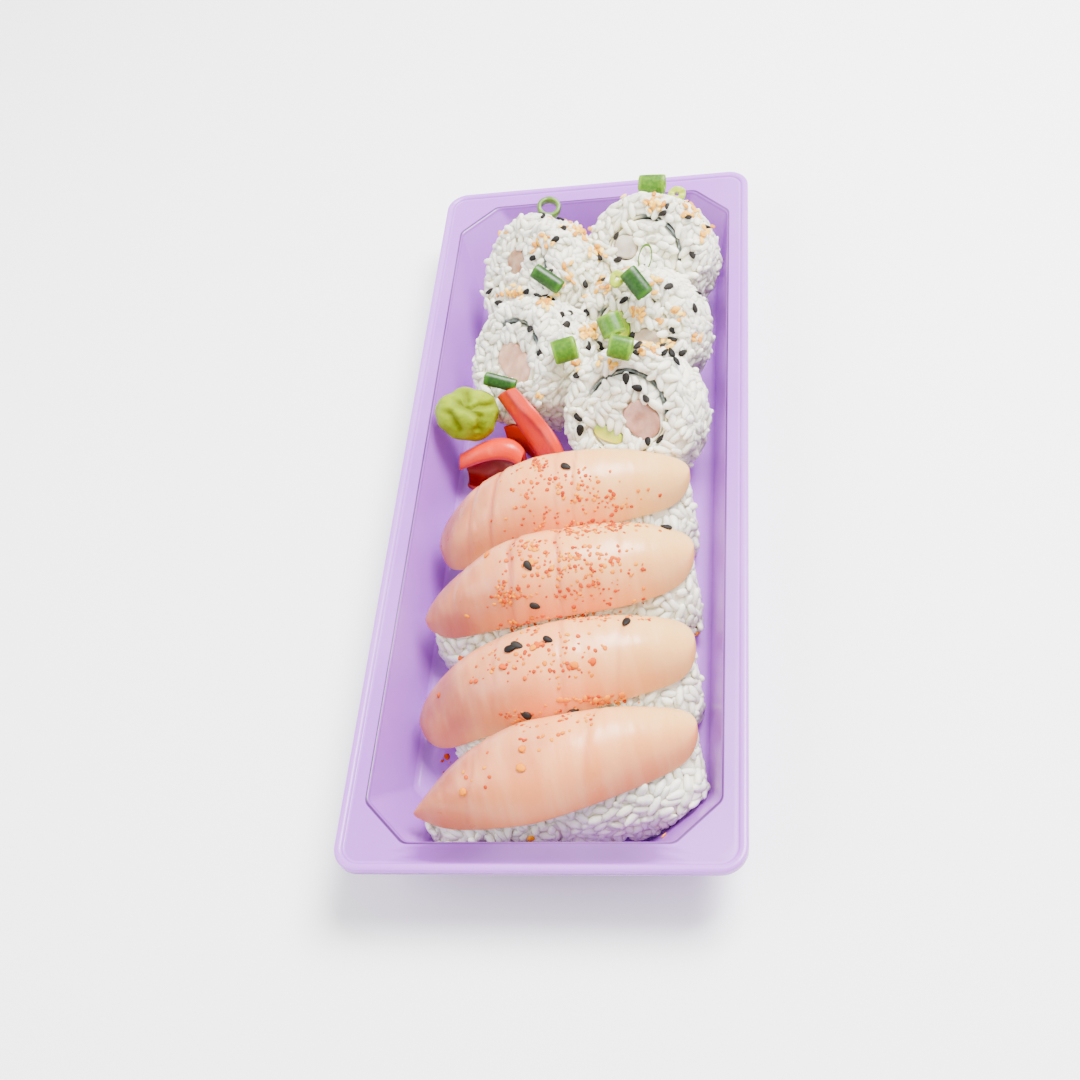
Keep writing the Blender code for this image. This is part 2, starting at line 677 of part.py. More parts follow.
def build_onion(name, middle, radius, wall, length, squash, turns, material, group):
    """A cut ring of spring onion: a short tube turned from a square section."""
    half = length * MM / 2
    outer, inner = radius * MM, (radius - wall) * MM
    work = bmesh.new()
    corners = ((outer, half), (outer, -half), (inner, -half), (inner, half))
    verts = [work.verts.new((reach, 0, height)) for reach, height in corners]
    for k in range(4):
        work.edges.new((verts[k], verts[(k + 1) % 4]))
    data = bpy.data.meshes.new(name)
    work.to_mesh(data)
    work.free()
    data.materials.append(material)
    made = bpy.data.objects.new(name, data)
    turned = made.modifiers.new("turned", "SCREW")
    turned.steps = 10
    turned.render_steps = 10
    turned.use_merge_vertices = True
    turned.merge_threshold = 0.0001
    spin = Euler([math.radians(turn) for turn in turns]).to_matrix().to_4x4()
    place = Matrix.Translation(Vector(middle) * MM)
    made.matrix_world = place @ spin @ Matrix.Diagonal((1, squash, 1, 1))
    group.objects.link(made)
    return made


def main():
    """Builds the tray and everything on it."""
    clear_scene()
    group = new_collection("takeaway_sushi_tray")
    cutters = new_collection("cutters")
    materials = {
        "tray": plastic("lilac_plastic", (0.58, 0.42, 0.78), 0.22),
        "rice": plastic("cooked_rice", (0.86, 0.84, 0.76), 0.45),
        "fish": plastic("raw_white_fish", (0.86, 0.66, 0.56), 0.3),
        "nori": plastic("seaweed_sheet", (0.02, 0.04, 0.03), 0.5),
        "avocado": plastic("avocado", (0.56, 0.66, 0.16), 0.4),
        "wasabi": plastic("wasabi_paste", (0.55, 0.60, 0.10), 0.5),
        "ginger": plastic("pickled_ginger", (0.90, 0.22, 0.12), 0.35),
        "onion": plastic("spring_onion", (0.14, 0.34, 0.04), 0.35),
    }
    build_tray(materials["tray"], group)
    presses = [build_roll_cutter(number, cutters) for number in range(len(ROLLS))]
    hollow = build_hollow_guide(cutters)
    slices = [build_slice(number, materials["fish"], group) for number in range(len(NIGIRI))]
    blocks = [build_nigiri_rice(number, materials["rice"], group) for number in range(len(NIGIRI))]
    cut(slices[0], presses[0])
    cut(blocks[0], presses[0])
    for block in blocks:
        cut(block, hollow, "INTERSECT")
    for number in range(len(ROLLS)):
        build_roll_rice(number, materials["rice"], group, presses)
        build_nori(number, materials["nori"], group)
        build_core(number, materials, group, cutters)
    build_wasabi(materials["wasabi"], group)
    for number in range(len(GINGER)):
        build_ginger(number, materials["ginger"], group)
    for onion in ONIONS:
        build_onion(f"onion_{onion[0]}", *onion[1:], materials["onion"], group)


main()
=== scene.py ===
"""Looks of a takeaway sushi tray: plastic tray, nigiri, rolls, ginger, wasabi and spring onion.

Every length is in metres in the frame's own axes: +Y along the tray towards the rolls,
+X across it and +Z up, with the origin under the middle of the tray.
"""

from collections import namedtuple
import itertools
import math

import bmesh
import bpy
import numpy as np
from bpy.props import FloatProperty, FloatVectorProperty, IntProperty, PointerProperty
from mathutils import Matrix, Vector
from mathutils.bvhtree import BVHTree


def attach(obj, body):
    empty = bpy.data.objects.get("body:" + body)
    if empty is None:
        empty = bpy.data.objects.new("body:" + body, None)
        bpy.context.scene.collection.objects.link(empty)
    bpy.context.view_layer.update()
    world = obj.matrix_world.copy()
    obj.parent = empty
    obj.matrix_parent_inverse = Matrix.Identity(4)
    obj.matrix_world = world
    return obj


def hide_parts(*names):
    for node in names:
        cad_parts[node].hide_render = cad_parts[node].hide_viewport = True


bl_info = {
    "name": "Takeaway sushi tray",
    "version": (1, 0, 0),
    "blender": (4, 5, 0),
    "location": "View3D > Sidebar > Sushi tray",
    "description": "Builds the looks of a filled takeaway sushi tray around its solids",
    "category": "Add Mesh",
}

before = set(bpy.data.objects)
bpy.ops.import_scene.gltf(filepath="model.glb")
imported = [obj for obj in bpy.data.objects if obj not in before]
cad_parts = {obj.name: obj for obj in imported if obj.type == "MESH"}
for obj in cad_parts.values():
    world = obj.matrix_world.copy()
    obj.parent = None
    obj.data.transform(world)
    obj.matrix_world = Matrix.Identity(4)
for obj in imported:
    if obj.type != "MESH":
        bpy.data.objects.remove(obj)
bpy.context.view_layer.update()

MM = 0.001
BODY = "root"

# Tray, as in the solids
TRAY_LENGTH = 220 * MM
TRAY_WIDTH = 90.4 * MM
TRAY_HEIGHT = 20 * MM
OUTER_CORNER = 6 * MM
FLANGE_SIDE = 5.9 * MM
FLANGE_END = 7.1 * MM
MOUTH_CHAMFER = 10 * MM
FLOOR_CHAMFER = 17.5 * MM
WALL_DRAFT = 4.5 * MM
FOOT_ROUND = 1.2 * MM
# How deep the painted shadow of the food and walls is on the near flange: 1 is the walls' own
# painted shade
NEAR_BAND_DEPTH = 1.6
# The lip between flange and wall: where it starts inside the mouth, its reach and its drop
LIP_START = -0.5 * MM
LIP_ROUND = 0.6 * MM
# Lowest that food lies, and where the walls of the hollow end, over the underside
FLOOR = 1.1 * MM
HOLLOW_FOOT = 2 * MM

# Nigiri, as in the solids: middle, turn in degrees, half sizes, height of the rice's crown and
# how far the left end droops; where the front and back edges end at the left and at the right,
# as shares of the half width, and from where they turn in at the right; the ends of fish and
# rice as shares of the half length
Nigiri = namedtuple("Nigiri", "x y turn half_width half_length crown left_drop "
                    "left_tip right_tip right_start fish_ends rice_ends")
NIGIRI = (
    Nigiri(-1.0 * MM, -12.1 * MM, 8.5, 11.1 * MM, 33 * MM, 29.0 * MM, 17.2 * MM,
           (1.0, 0.65), (0.25, 0.70), 0.05, (-1.0, 0.99), (-0.74, 0.95)),
    Nigiri(-0.2 * MM, -36.3 * MM, 10.1, 11.8 * MM, 34 * MM, 29.2 * MM, 15.6 * MM,
           (0.40, 0.32), (0.30, 0.75), 0.23, (-1.0, 0.99), (-0.93, 0.94)),
    Nigiri(0.6 * MM, -62.2 * MM, 12.0, 12.1 * MM, 34 * MM, 27.6 * MM, 18.8 * MM,
           (0.56, 0.69), (0.40, 0.77), -0.15, (-1.0, 0.99), (-0.76, 0.94)),
    Nigiri(3.2 * MM, -87.3 * MM, 12.3, 12.1 * MM, 32.6 * MM, 28.8 * MM, 11.2 * MM,
           (0.28, -0.08), (0.10, 0.82), -0.3, (-1.0, 1.0), (-0.92, 0.96)),
)
RIGHT_DROP = 9 * MM
SIDE_DROP = 7.2 * MM
FISH_THICKNESS = 5.4 * MM
RICE_CLEARANCE = 0.9 * MM
RICE_SET_BACK = 0.9 * MM
# Slits in each slice: place along it and slant as shares, depth, width, and how far it reaches
SLITS = (
    ((-0.46, 0.10, 0.55 * MM, 0.8 * MM), (-0.66, 0.10, 0.35 * MM, 0.7 * MM),
     (0.02, 0.05, 0.18 * MM, 0.6 * MM), (0.16, 0.06, 0.22 * MM, 0.5 * MM)),
    ((-0.27, 0.06, 0.50 * MM, 0.8 * MM), (0.06, 0.04, 0.35 * MM, 0.8 * MM),
     (-0.70, 0.08, 0.22 * MM, 0.7 * MM), (0.48, 0.08, 0.15 * MM, 0.7 * MM)),
    ((-0.35, 0.08, 0.20 * MM, 0.7 * MM), (0.12, 0.05, 0.22 * MM, 0.7 * MM),
     (0.52, 0.10, 0.15 * MM, 0.8 * MM)),
    ((-0.52, 0.10, 0.25 * MM, 0.8 * MM), (0.30, 0.12, 0.15 * MM, 0.9 * MM)),
)
# How warm the colour of each slice is
FISH_WARMTHS = (0.15, 0.4, 0.4, 0.8)

# Cover of grains: first random seed, spots tried, share sunk in, tint of the core below, which
# paints shade between the grains
RiceCover = namedtuple("RiceCover", "seed tries sink core_tint")
NIGIRI_COVER = RiceCover(300, 7000, 0.87, 0.6)
OUTER_COVER = RiceCover(400, 9000, 0.9, 0.65)
INNER_COVER = RiceCover(500, 2500, 0.86, 0.65)

# Rolls: middle X and Y, azimuth and lean of the cut face in degrees, radius, thickness
ROLLS = (
    (16.6 * MM, 17.2 * MM, 250, 46, 17.4 * MM, 17 * MM),
    (17.2 * MM, 45.8 * MM, 246, 46, 17.0 * MM, 17 * MM),
    (-12.2 * MM, 36.8 * MM, 214, 42, 16.9 * MM, 17 * MM),
    (18.6 * MM, 75.0 * MM, 247, 49, 17.4 * MM, 17 * MM),
    (-13.2 * MM, 70.4 * MM, 214, 42, 16.9 * MM, 16 * MM),
)
NORI_RADIUS = 11.2 * MM
NORI_THICKNESS = 0.7 * MM
ROLL_EDGE = 3.0 * MM
# Fillings in each roll's face: middle, half sizes and turn in degrees
FISH_STRIPS = (
    (4.4 * MM, -0.6 * MM, 5.4 * MM, 4.2 * MM, -35),
    (4.6 * MM, -1.0 * MM, 4.2 * MM, 3.2 * MM, 20),
    (1.6 * MM, 0.4 * MM, 7.2 * MM, 4.4 * MM, 6),
    (-5.6 * MM, 1.4 * MM, 3.4 * MM, 3.4 * MM, 10),
    (-4.0 * MM, 1.8 * MM, 3.8 * MM, 3.3 * MM, -20),
)
AVOCADO_STRIPS = {
    0: (-3.8 * MM, -6.1 * MM, 4.2 * MM, 1.9 * MM, -8),
    1: (-4.6 * MM, 1.2 * MM, 4.4 * MM, 3.0 * MM, -50),
}
# 1 keeps the fillings oval, and less squares them off
FILLING_ROUNDNESS = 0.75
# Dark and light tone of the fish in each roll
FILLING_TONES = (
    ((142, 92, 76), (186, 140, 120)),
    ((150, 130, 108), (190, 172, 146)),
    ((192, 138, 112), (222, 180, 150)),
    ((160, 146, 130), (200, 190, 174)),
    ((142, 94, 64), (188, 158, 128)),
)
# Where each seaweed ring shows through the rice: middle and half width in degrees
NORI_SHOWN = ((80, 85), (165, 15), (100, 60), (58, 62), (45, 38))
# Outline of the seaweed's cut wall: share of its thickness inwards, share of the half roll up
SEAWEED_PROFILE = ((0.0, -0.94), (0.0, 0.93), (0.25, 1.0), (0.75, 1.0), (1.0, 0.93), (1.0, -0.94))

# Wasabi and pickled ginger
WASABI_MIDDLE = np.array((-29.0, 19.7, 20.3)) * MM
WASABI_SIZE = np.array((8.6, 7.1, 7.3)) * MM
# Creases in the wasabi as the camera sees them, in shares of its radius right and up
WASABI_CREASES = (
    ((-0.30, 0.36), (-0.18, 0.26), (0.12, 0.06), (0.41, -0.20), (0.38, -0.60)),
    ((-0.09, 0.90), (-0.02, 0.50), (-0.12, 0.28)),
    ((-0.60, -0.05), (-0.45, -0.30), (-0.24, -0.68)),
    ((0.12, 0.06), (0.45, 0.30), (0.80, 0.34)),
)
GINGER = (
    (((-20.6, 23.8, 22.2), (-18.0, 22.8, 25.2), (-15.1, 22.8, 26.2)),
     ((-16.4, 18.8, 18.3), (-13.4, 17.5, 21.9), (-9.6, 17.4, 22.4)),
     ((-12.3, 13.8, 13.7), (-8.8, 13.3, 18.2), (-5.6, 13.0, 18.2)),
     ((-7.8, 7.8, 7.7), (-5.3, 7.8, 13.6), (-2.7, 8.3, 13.2))),
    (((-20.4, 20.4, 13.8), (-20.2, 19.7, 10.6), (-20.0, 18.9, 7.6)),
     ((-14.9, 19.0, 14.2), (-15.0, 18.0, 10.4), (-15.2, 17.0, 7.0)),
     ((-10.9, 14.9, 11.6), (-11.5, 14.1, 8.2), (-12.1, 13.3, 5.4)),
     ((-9.9, 9.7, 8.0), (-10.5, 9.3, 5.8), (-11.1, 8.9, 3.6))),
    (((-31.0, 9.0, 4.2), (-31.8, 13.0, 3.9), (-32.2, 14.5, 8.0), (-31.8, 12.3, 12.2),
      (-32.0, 9.0, 10.5)),
     ((-28.0, 7.5, 3.9), (-27.0, 13.4, 3.5), (-26.5, 16.0, 9.0), (-26.0, 13.6, 14.6),
      (-27.3, 9.0, 12.5)),
     ((-21.5, 7.5, 4.4), (-20.5, 13.4, 4.2), (-20.4, 16.4, 9.8), (-19.5, 14.4, 15.4),
      (-21.0, 9.4, 13.5)),
     ((-16.0, 6.5, 5.0), (-14.9, 10.4, 4.6), (-14.9, 12.8, 8.8), (-14.5, 11.8, 13.0),
      (-15.5, 8.0, 11.6))),
)
RIBBON_THICKNESS = 0.95 * MM
# How deep the colour is from the first to the last edge of each slice of ginger: the edges' own
# deeper red, and painted shade on the sides that face into its folds
GINGER_TONES = ((0.8, 0.2, 0.0, 0.1, 0.8, 0.1, 0.0, 0.5), (0.0, 0.1, 0.5, 1.0),
                (1.0, 0.9, 0.9, 0.2, 0.0, 0.1))

# Spring onion: name, tone, middle, radius, wall and length in millimetres, squash, turns
ONIONS = (
    ("ring_far_left", "olive", (-10.5, 87.5, 30.8), 3.5, 1.3, 2.8, 0.9, (23, 10, 5)),
    ("slice_dark_left", "dark", (-8.3, 56.6, 32.4), 2.2, 1.2, 9.0, 0.7, (121, -30, 46)),
    ("tube_far_right", "green", (19.0, 92.8, 31.6), 2.8, 1.1, 7.6, 0.6, (90, -50, 85)),
    ("ring_pale_right", "pale", (26.1, 88.8, 30.6), 2.6, 2.0, 2.6, 0.85, (40, -6, 16)),
    ("loop_thin", "olive", (18.1, 63.8, 30.6), 3.9, 0.7, 1.4, 0.5, (21, -44, 71)),
    ("slice_pointed", "dark", (17.5, 45.6, 38.8), 2.5, 1.2, 8.2, 0.5, (125, -20, 29)),
    ("slice_yellow", "pale", (12.2, 48.5, 38.0), 2.3, 1.8, 2.4, 0.85, (28, -26, 53)),
    ("tube_middle_back", "green", (10.1, 38.7, 31.0), 3.2, 1.2, 5.8, 0.6, (121, -8, 19)),
    ("tube_middle_front", "green", (14.8, 21.1, 40.4), 3.0, 1.2, 6.0, 0.55, (102, -40, 69)),
    ("tube_between", "green", (-0.5, 26.1, 35.6), 3.1, 1.2, 6.2, 0.6, (78, -45, 107)),
    ("slice_dark_low", "dark", (-19.5, 25.1, 26.4), 1.8, 0.9, 8.6, 0.6, (112, -37, 68)),
)
ONION_TONES = {
    "dark": ((16, 54, 0), (52, 104, 4)),
    "green": ((52, 96, 0), (116, 156, 8)),
    "olive": ((52, 84, 0), (84, 118, 4)),
    "pale": ((120, 152, 0), (176, 190, 30)),
}

# Other tones, from 0 to 255
MILKY_RICE = (254, 252, 244)
FISH_PALE = (250, 212, 166)
FISH_LINE = (214, 124, 92)
# Painted shade in the slits of the fish
FISH_CREASE = (190, 98, 66)
# Painted dark line of shade along the crease at the mouth's lip
PLASTIC_LINE = (48, 12, 66)
PLASTIC_CLOUD = (206, 150, 232)
SEAWEED_DARK = (40, 50, 52)
SEAWEED_LIGHT = (98, 110, 110)
AVOCADO_YELLOW = (212, 200, 24)
AVOCADO_GREEN = (120, 158, 4)
WASABI_LIGHT = (140, 158, 0)
# Painted shade in the wasabi's creases
WASABI_CREASE = (100, 112, 0)
GINGER_PALE = (248, 112, 66)
BLACK_SESAME = ((12, 10, 10), (26, 22, 20), (38, 34, 30))
TOASTED_SESAME = ((190, 116, 24), (228, 168, 52), (244, 206, 104))
CHILLI = ((160, 22, 0), (202, 78, 0), (228, 142, 0))
FLOOR_SHADE = (236, 236, 238)

# Camera, solved from the tray's rim in a square picture of 1080 pixels
PICTURE = 1080
CAMERA_PLACE = Vector((0.0639619, -0.2343270, 0.3027724))
CAMERA_AZIMUTH = -0.3186651
CAMERA_DOWN = 0.9036934
CAMERA_ROLL = -0.2951109
FOCAL_PIXELS = 1457.4632
SENSOR = 36.0

# Lights: place and size; the floor's half width
KEY_LIGHT = ((0.30, 0.22, 0.75), 0.42)
FILL_LIGHT = ((-0.55, -0.25, 0.55), 0.6)
FILL_SHARE = 0.2
FLOOR_REACH = 3.0

# Where single seeds and flakes lie in the picture, in pixels
BLACK_SEEDS = (
    (571, 217), (577, 213), (564, 229), (591, 230), (555, 240), (598, 257), (617, 236),
    (618, 260), (663, 214), (667, 206), (688, 218), (715, 232), (693, 255), (585, 284),
    (534, 258), (550, 272), (551, 300), (545, 296), (490, 292), (499, 303), (527, 292),
    (562, 316), (565, 326), (586, 313), (624, 301), (626, 321), (668, 287), (694, 308),
    (673, 331), (672, 340), (632, 336), (638, 346), (600, 346), (588, 346), (636, 353),
    (617, 354), (586, 333), (537, 342), (541, 352), (530, 330), (665, 353), (671, 353),
    (683, 353), (676, 362), (626, 379), (637, 388), (646, 399), (578, 418), (580, 430),
    (570, 446), (648, 442), (661, 440), (566, 467), (666, 528), (697, 572), (528, 566),
    (535, 606), (626, 623), (548, 640), (511, 649), (517, 646), (526, 715), (573, 712),
)
LARGE_FLAKES = (
    (461, 658), (439, 695), (476, 681), (503, 667), (537, 645), (533, 648), (541, 644),
    (574, 665), (560, 700), (566, 700), (585, 698), (596, 700), (607, 698), (622, 695),
    (563, 733), (522, 749), (521, 768), (463, 792), (447, 757), (531, 838), (664, 836),
    (697, 633), (531, 563), (467, 616), (487, 555), (593, 661), (535, 460), (529, 452),
)
# Patches of toasted seeds on the rolls: middle and half sizes in pixels, count
TOASTED_PATCHES = (
    (583, 231, 10, 5, 18), (598, 250, 6, 10, 15), (511, 293, 12, 6, 16), (545, 303, 14, 7, 15),
    (603, 284, 9, 8, 12), (655, 203, 10, 7, 18), (692, 210, 14, 10, 21), (590, 332, 12, 8, 21),
    (640, 314, 14, 7, 12), (672, 318, 10, 10, 9), (655, 346, 18, 8, 24), (612, 361, 12, 6, 9),
    (575, 366, 6, 6, 4), (541, 245, 14, 10, 9), (500, 232, 8, 4, 4), (655, 281, 5, 10, 8),
    (696, 337, 5, 5, 4), (565, 274, 12, 12, 8), (527, 378, 5, 4, 3), (540, 396, 4, 4, 3),
    (652, 430, 3, 3, 2), (703, 235, 5, 8, 6),
)
# Patches of fine chilli on the fish: middle and half sizes in pixels, count
CHILLI_PATCHES = (
    (560, 480, 62, 14, 60), (600, 500, 50, 16, 60), (530, 505, 36, 24, 40), (538, 464, 14, 8, 36),
    (600, 526, 52, 6, 110), (532, 545, 14, 6, 30), (575, 532, 24, 5, 40), (560, 560, 66, 16, 110),
    (585, 585, 56, 22, 90), (507, 594, 18, 12, 70), (615, 560, 26, 16, 30), (590, 618, 62, 4, 80),
    (520, 626, 26, 6, 30), (545, 648, 60, 16, 50), (500, 665, 40, 20, 30), (560, 672, 44, 14, 30),
    (604, 700, 34, 4, 50), (520, 718, 16, 8, 36), (575, 716, 28, 10, 28), (540, 735, 50, 20, 14),
    (470, 770, 40, 24, 10),
)
# Furthest that a seed or speck lies from its patch's middle, in pixels
PATCH_REACH = 60
# Half sizes of a seed and a flake as shares of their length and width
SEED_SHARES = (0.5, 0.3, 0.15)
FLAKE_SHARES = (0.5, 0.42, 0.13)


def linear(red, green, blue):
    """A picture's colour, given from 0 to 255, as the linear colour that shaders take."""
    shares = (red / 255, green / 255, blue / 255)
    return tuple(s / 12.92 if s <= 0.04045 else ((s + 0.055) / 1.055) ** 2.4 for s in shares)


# Sizes and colours that a user would change


def colour_setting(name, description, colour):
    """A colour in the sidebar."""
    return FloatVectorProperty(name=name, description=description, subtype="COLOR", size=3,
                               min=0.0, max=1.0, default=linear(*colour))


def length_setting(name, description, default):
    """A length in the sidebar."""
    return FloatProperty(name=name, description=description, default=default, min=0.0,
                         precision=5, subtype="DISTANCE", unit="LENGTH")


class TraySettings(bpy.types.PropertyGroup):
    """Sizes and colours of the plastic tray."""

    sheet: length_setting("Sheet", "Thickness of the plastic sheet", 0.8 * MM)
    bead: length_setting("Bead", "Width of the raised bead round the rim", 1.9 * MM)
    bead_rise: length_setting("Bead rise", "Height of the bead over the flange", 0.6 * MM)
    skirt: length_setting("Skirt", "How far the rim is turned down", 2.0 * MM)
    plastic: colour_setting("Plastic", "Colour of the flange and floor", (178, 104, 220))
    # Deep plastic is also the painted shade on the walls, skirt and creases
    deep: colour_setting("Deep plastic", "Colour of the walls and creases", (100, 28, 130))


class RiceSettings(bpy.types.PropertyGroup):
    """Size and colours of the rice."""

    grain_length: length_setting("Grain length", "Length of a cooked grain", 5.2 * MM)
    grain_width: length_setting("Grain width", "Width of a cooked grain", 2.2 * MM)
    spacing: length_setting("Spacing", "Least distance between grains", 1.8 * MM)
    white: colour_setting("White", "Colour of the rice", (248, 243, 214))
    # The shade colour gives the darker grains their tone and paints shade on the core between them
    shade: colour_setting("Shade", "Colour between the grains", (234, 227, 192))


class FishSettings(bpy.types.PropertyGroup):
    """Colours of the raw fish."""

    cream: colour_setting("Cream", "Colour of the thick right end", (230, 178, 104))
    warm: colour_setting("Warm", "Colour of the middle", (238, 152, 90))
    # The pink is the thin tip's own tone, and its darkness is painted shade on the drooping left
    # end
    pink: colour_setting("Pink", "Colour of the thin left tip", (160, 80, 66))
    blush: colour_setting("Blush", "Colour of the warm patches", (222, 124, 66))


class GarnishSettings(bpy.types.PropertyGroup):
    """Colours of the garnish, and sizes of seeds and flakes."""

    ginger: colour_setting("Ginger", "Colour of the pickled ginger", (202, 40, 0))
    # Deep ginger is the edges' own deeper red and the painted shade in the folds
    ginger_deep: colour_setting("Deep ginger", "Colour in the ginger's folds", (140, 6, 12))
    wasabi: colour_setting("Wasabi", "Colour of the wasabi", (108, 128, 0))
    seed_length: length_setting("Seed length", "Length of a sesame seed", 3.0 * MM)
    flake_size: length_setting("Flake size", "Width of a large chilli flake", 1.8 * MM)
    back_seeds: IntProperty(name="Back seeds", min=0, default=60,
                            description="Sesame seeds on the sides that face away")


class StageSettings(bpy.types.PropertyGroup):
    """Floor and lights."""

    floor: colour_setting("Floor", "Colour of the floor", (250, 250, 250))
    key_power: FloatProperty(name="Key", description="Power of the main light in watts",
                             default=32.0, min=0.0)
    world: FloatProperty(name="World", description="Strength of the light all round",
                         default=1.2, min=0.0)


SETTINGS = {
    "sushi_tray": TraySettings,
    "sushi_rice": RiceSettings,
    "sushi_fish": FishSettings,
    "sushi_garnish": GarnishSettings,
    "sushi_stage": StageSettings,
}


# Numbers


def lattice_value(cells, seed):
    """A value between -1 and 1 for whole-number cells, by mixing their bits."""
    mask = 0xFFFFFFFF
    mixed = cells[..., 0] * 73856093 ^ cells[..., 1] * 19349663 ^ cells[..., 2] * 83492791
    mixed = (mixed + seed * 2654435) & mask
    mixed = ((mixed ^ (mixed >> 15)) * 2246822519) & mask
    mixed = ((mixed ^ (mixed >> 13)) * 3266489917) & mask
    return ((mixed ^ (mixed >> 16)) & 0xFFFF) / 32767.5 - 1


def smooth_noise(points, size, seed=0):
    """Noise between -1 and 1: values at the corners of cubes of one size, blended smoothly."""
    scaled = np.asarray(points) / size + 0.37
    base = np.floor(scaled)
    part = scaled - base
    blend = part * part * (3 - 2 * part)
    cells = base.astype(np.int64)
    total = np.zeros(scaled.shape[:-1])
    for corner in itertools.product((0, 1), repeat=3):
        weight = np.prod(np.where(np.array(corner) == 1, blend, 1 - blend), axis=-1)
        total += weight * lattice_value(cells + np.array(corner), seed)
    return total


def smooth_step(low, high, value):
    """Rises from 0 at the low value to 1 at the high one along a cubic."""
    share = np.clip((value - low) / (high - low), 0, 1)
    return share * share * (3 - 2 * share)


def unit(vectors):
    """Vectors scaled to length one."""
    return vectors / np.maximum(np.linalg.norm(vectors, axis=-1, keepdims=True), 1e-12)


def turned(x, y, degrees):
    """Flat coordinates turned about the Z axis."""
    cosine, sine = math.cos(math.radians(degrees)), math.sin(math.radians(degrees))
    return x * cosine - y * sine, x * sine + y * cosine


def full_turn(count):
    """Angles in even steps all the way round."""
    return np.linspace(0, 2 * math.pi, count, endpoint=False)


def carried_round(reach, angle, height):
    """Points at a reach from the Z axis and a height, at each angle."""
    return np.stack(np.broadcast_arrays(reach * np.cos(angle), reach * np.sin(angle), height), -1)


def squared(angle, power):
    """Cosine and sine raised to a power below 1 with their signs kept, for a squarer oval."""
    return [np.sign(part) * np.abs(part) ** power for part in (np.cos(angle), np.sin(angle))]


# Meshes

NO_TRIANGLES = np.zeros((0, 3), int)


def grid_quads(rows, columns, wrap=True, start=0):
    """Quads between neighbouring points of a grid; wrap joins its last column to its first."""
    across = columns if wrap else columns - 1
    row, column = np.meshgrid(np.arange(rows - 1), np.arange(across), indexing="ij")
    after = (column + 1) % columns
    quads = (row * columns + column, row * columns + after,
             (row + 1) * columns + after, (row + 1) * columns + column)
    return np.stack(quads, axis=-1).reshape(-1, 4) + start


def ring_quads(rows, columns):
    """Quads of a grid whose last row also joins its first."""
    here = np.arange(columns)
    after = (here + 1) % columns
    last = (rows - 1) * columns
    closing = np.stack([last + here, last + after, after, here], axis=1)
    return np.vstack([grid_quads(rows, columns), closing])


def build_mesh(name, points, quads, triangles=NO_TRIANGLES):
    """A mesh from arrays of points, quads and triangles."""
    mesh = bpy.data.meshes.new(name)
    mesh.vertices.add(len(points))
    mesh.vertices.foreach_set("co", np.asarray(points, np.float32).ravel())
    corners = np.concatenate([np.ravel(quads), np.ravel(triangles)]).astype(np.int32)
    totals = np.concatenate([np.full(len(quads), 4), np.full(len(triangles), 3)])
    mesh.loops.add(len(corners))
    mesh.loops.foreach_set("vertex_index", corners)
    mesh.polygons.add(len(totals))
    mesh.polygons.foreach_set("loop_start", (np.cumsum(totals) - totals).astype(np.int32))
    mesh.update(calc_edges=True)
    mesh.validate()
    mesh.shade_smooth()
    return mesh


def add_values(mesh, name, values):
    """Stores one number for each point, which a material reads by its name."""
    layer = mesh.attributes.new(name, "FLOAT", "POINT")
    layer.data.foreach_set("value", np.asarray(values, np.float32).ravel())


def weld(mesh, distance=1e-6, outward=True):
    """Merges points that coincide, such as a pole's, and turns the faces outwards."""
    work = bmesh.new()
    work.from_mesh(mesh)
    bmesh.ops.remove_doubles(work, verts=work.verts, dist=distance)
    bmesh.ops.dissolve_degenerate(work, edges=work.edges, dist=1e-7)
    if outward:
        bmesh.ops.recalc_face_normals(work, faces=work.faces)
    work.to_mesh(mesh)
    work.free()
    mesh.shade_smooth()


def add_piece(mesh, material, node=None):
    """Puts a mesh in the scene as a piece that rides on the tray's body."""
    mesh.materials.append(material)
    piece = bpy.data.objects.new(mesh.name, mesh)
    bpy.context.scene.collection.objects.link(piece)
    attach(piece, BODY)
    if node is not None:
        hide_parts(node)
    return piece


def surface_piece(name, grid, quads, material, slot, node, **values):
    """A closed surface as a piece, whose points carry a number under each name."""
    mesh = build_mesh(name, grid.reshape(-1, 3), quads)
    for key, numbers in values.items():
        add_values(mesh, key, numbers)
    weld(mesh)
    return add_piece(mesh, material, node)


def sample_grid(points, count, random, wrap=True):
    """Random spots on a grid of points, even by area, with the normals there."""
    after = np.roll(points, -1, axis=1) if wrap else points[:, 1:]
    here = points if wrap else points[:, :-1]
    a, b, c, d = here[:-1], after[:-1], after[1:], here[1:]
    cross = np.cross(c - a, d - b).reshape(-1, 3)
    area = np.linalg.norm(cross, axis=1)
    chosen = random.choice(len(area), size=count, p=area / area.sum())
    u, v = random.random((2, count, 1))
    corners = [side.reshape(-1, 3)[chosen] for side in (a, b, c, d)]
    spots = (corners[0] * (1 - u) * (1 - v) + corners[1] * u * (1 - v)
             + corners[2] * u * v + corners[3] * (1 - u) * v)
    return spots, unit(cross[chosen])


def thin_out(spots, spacing):
    """Numbers of the spots that stay, each at least the spacing from those before it."""
    free = np.ones(len(spots), bool)
    kept = []
    for number in range(len(spots)):
        if free[number]:
            kept.append(number)
            free &= np.linalg.norm(spots - spots[number], axis=1) >= spacing
    return np.array(kept, int)


def lie_on(spots, normals, random, tilt):
    """Axes for small things that lie on a surface: a random heading, tilted a little."""
    normals = unit(normals + random.normal(0, tilt, normals.shape))
    heading = random.normal(0, 1, spots.shape)
    heading = unit(heading - (heading * normals).sum(1, keepdims=True) * normals)
    return np.stack([heading, np.cross(normals, heading), normals], axis=1)


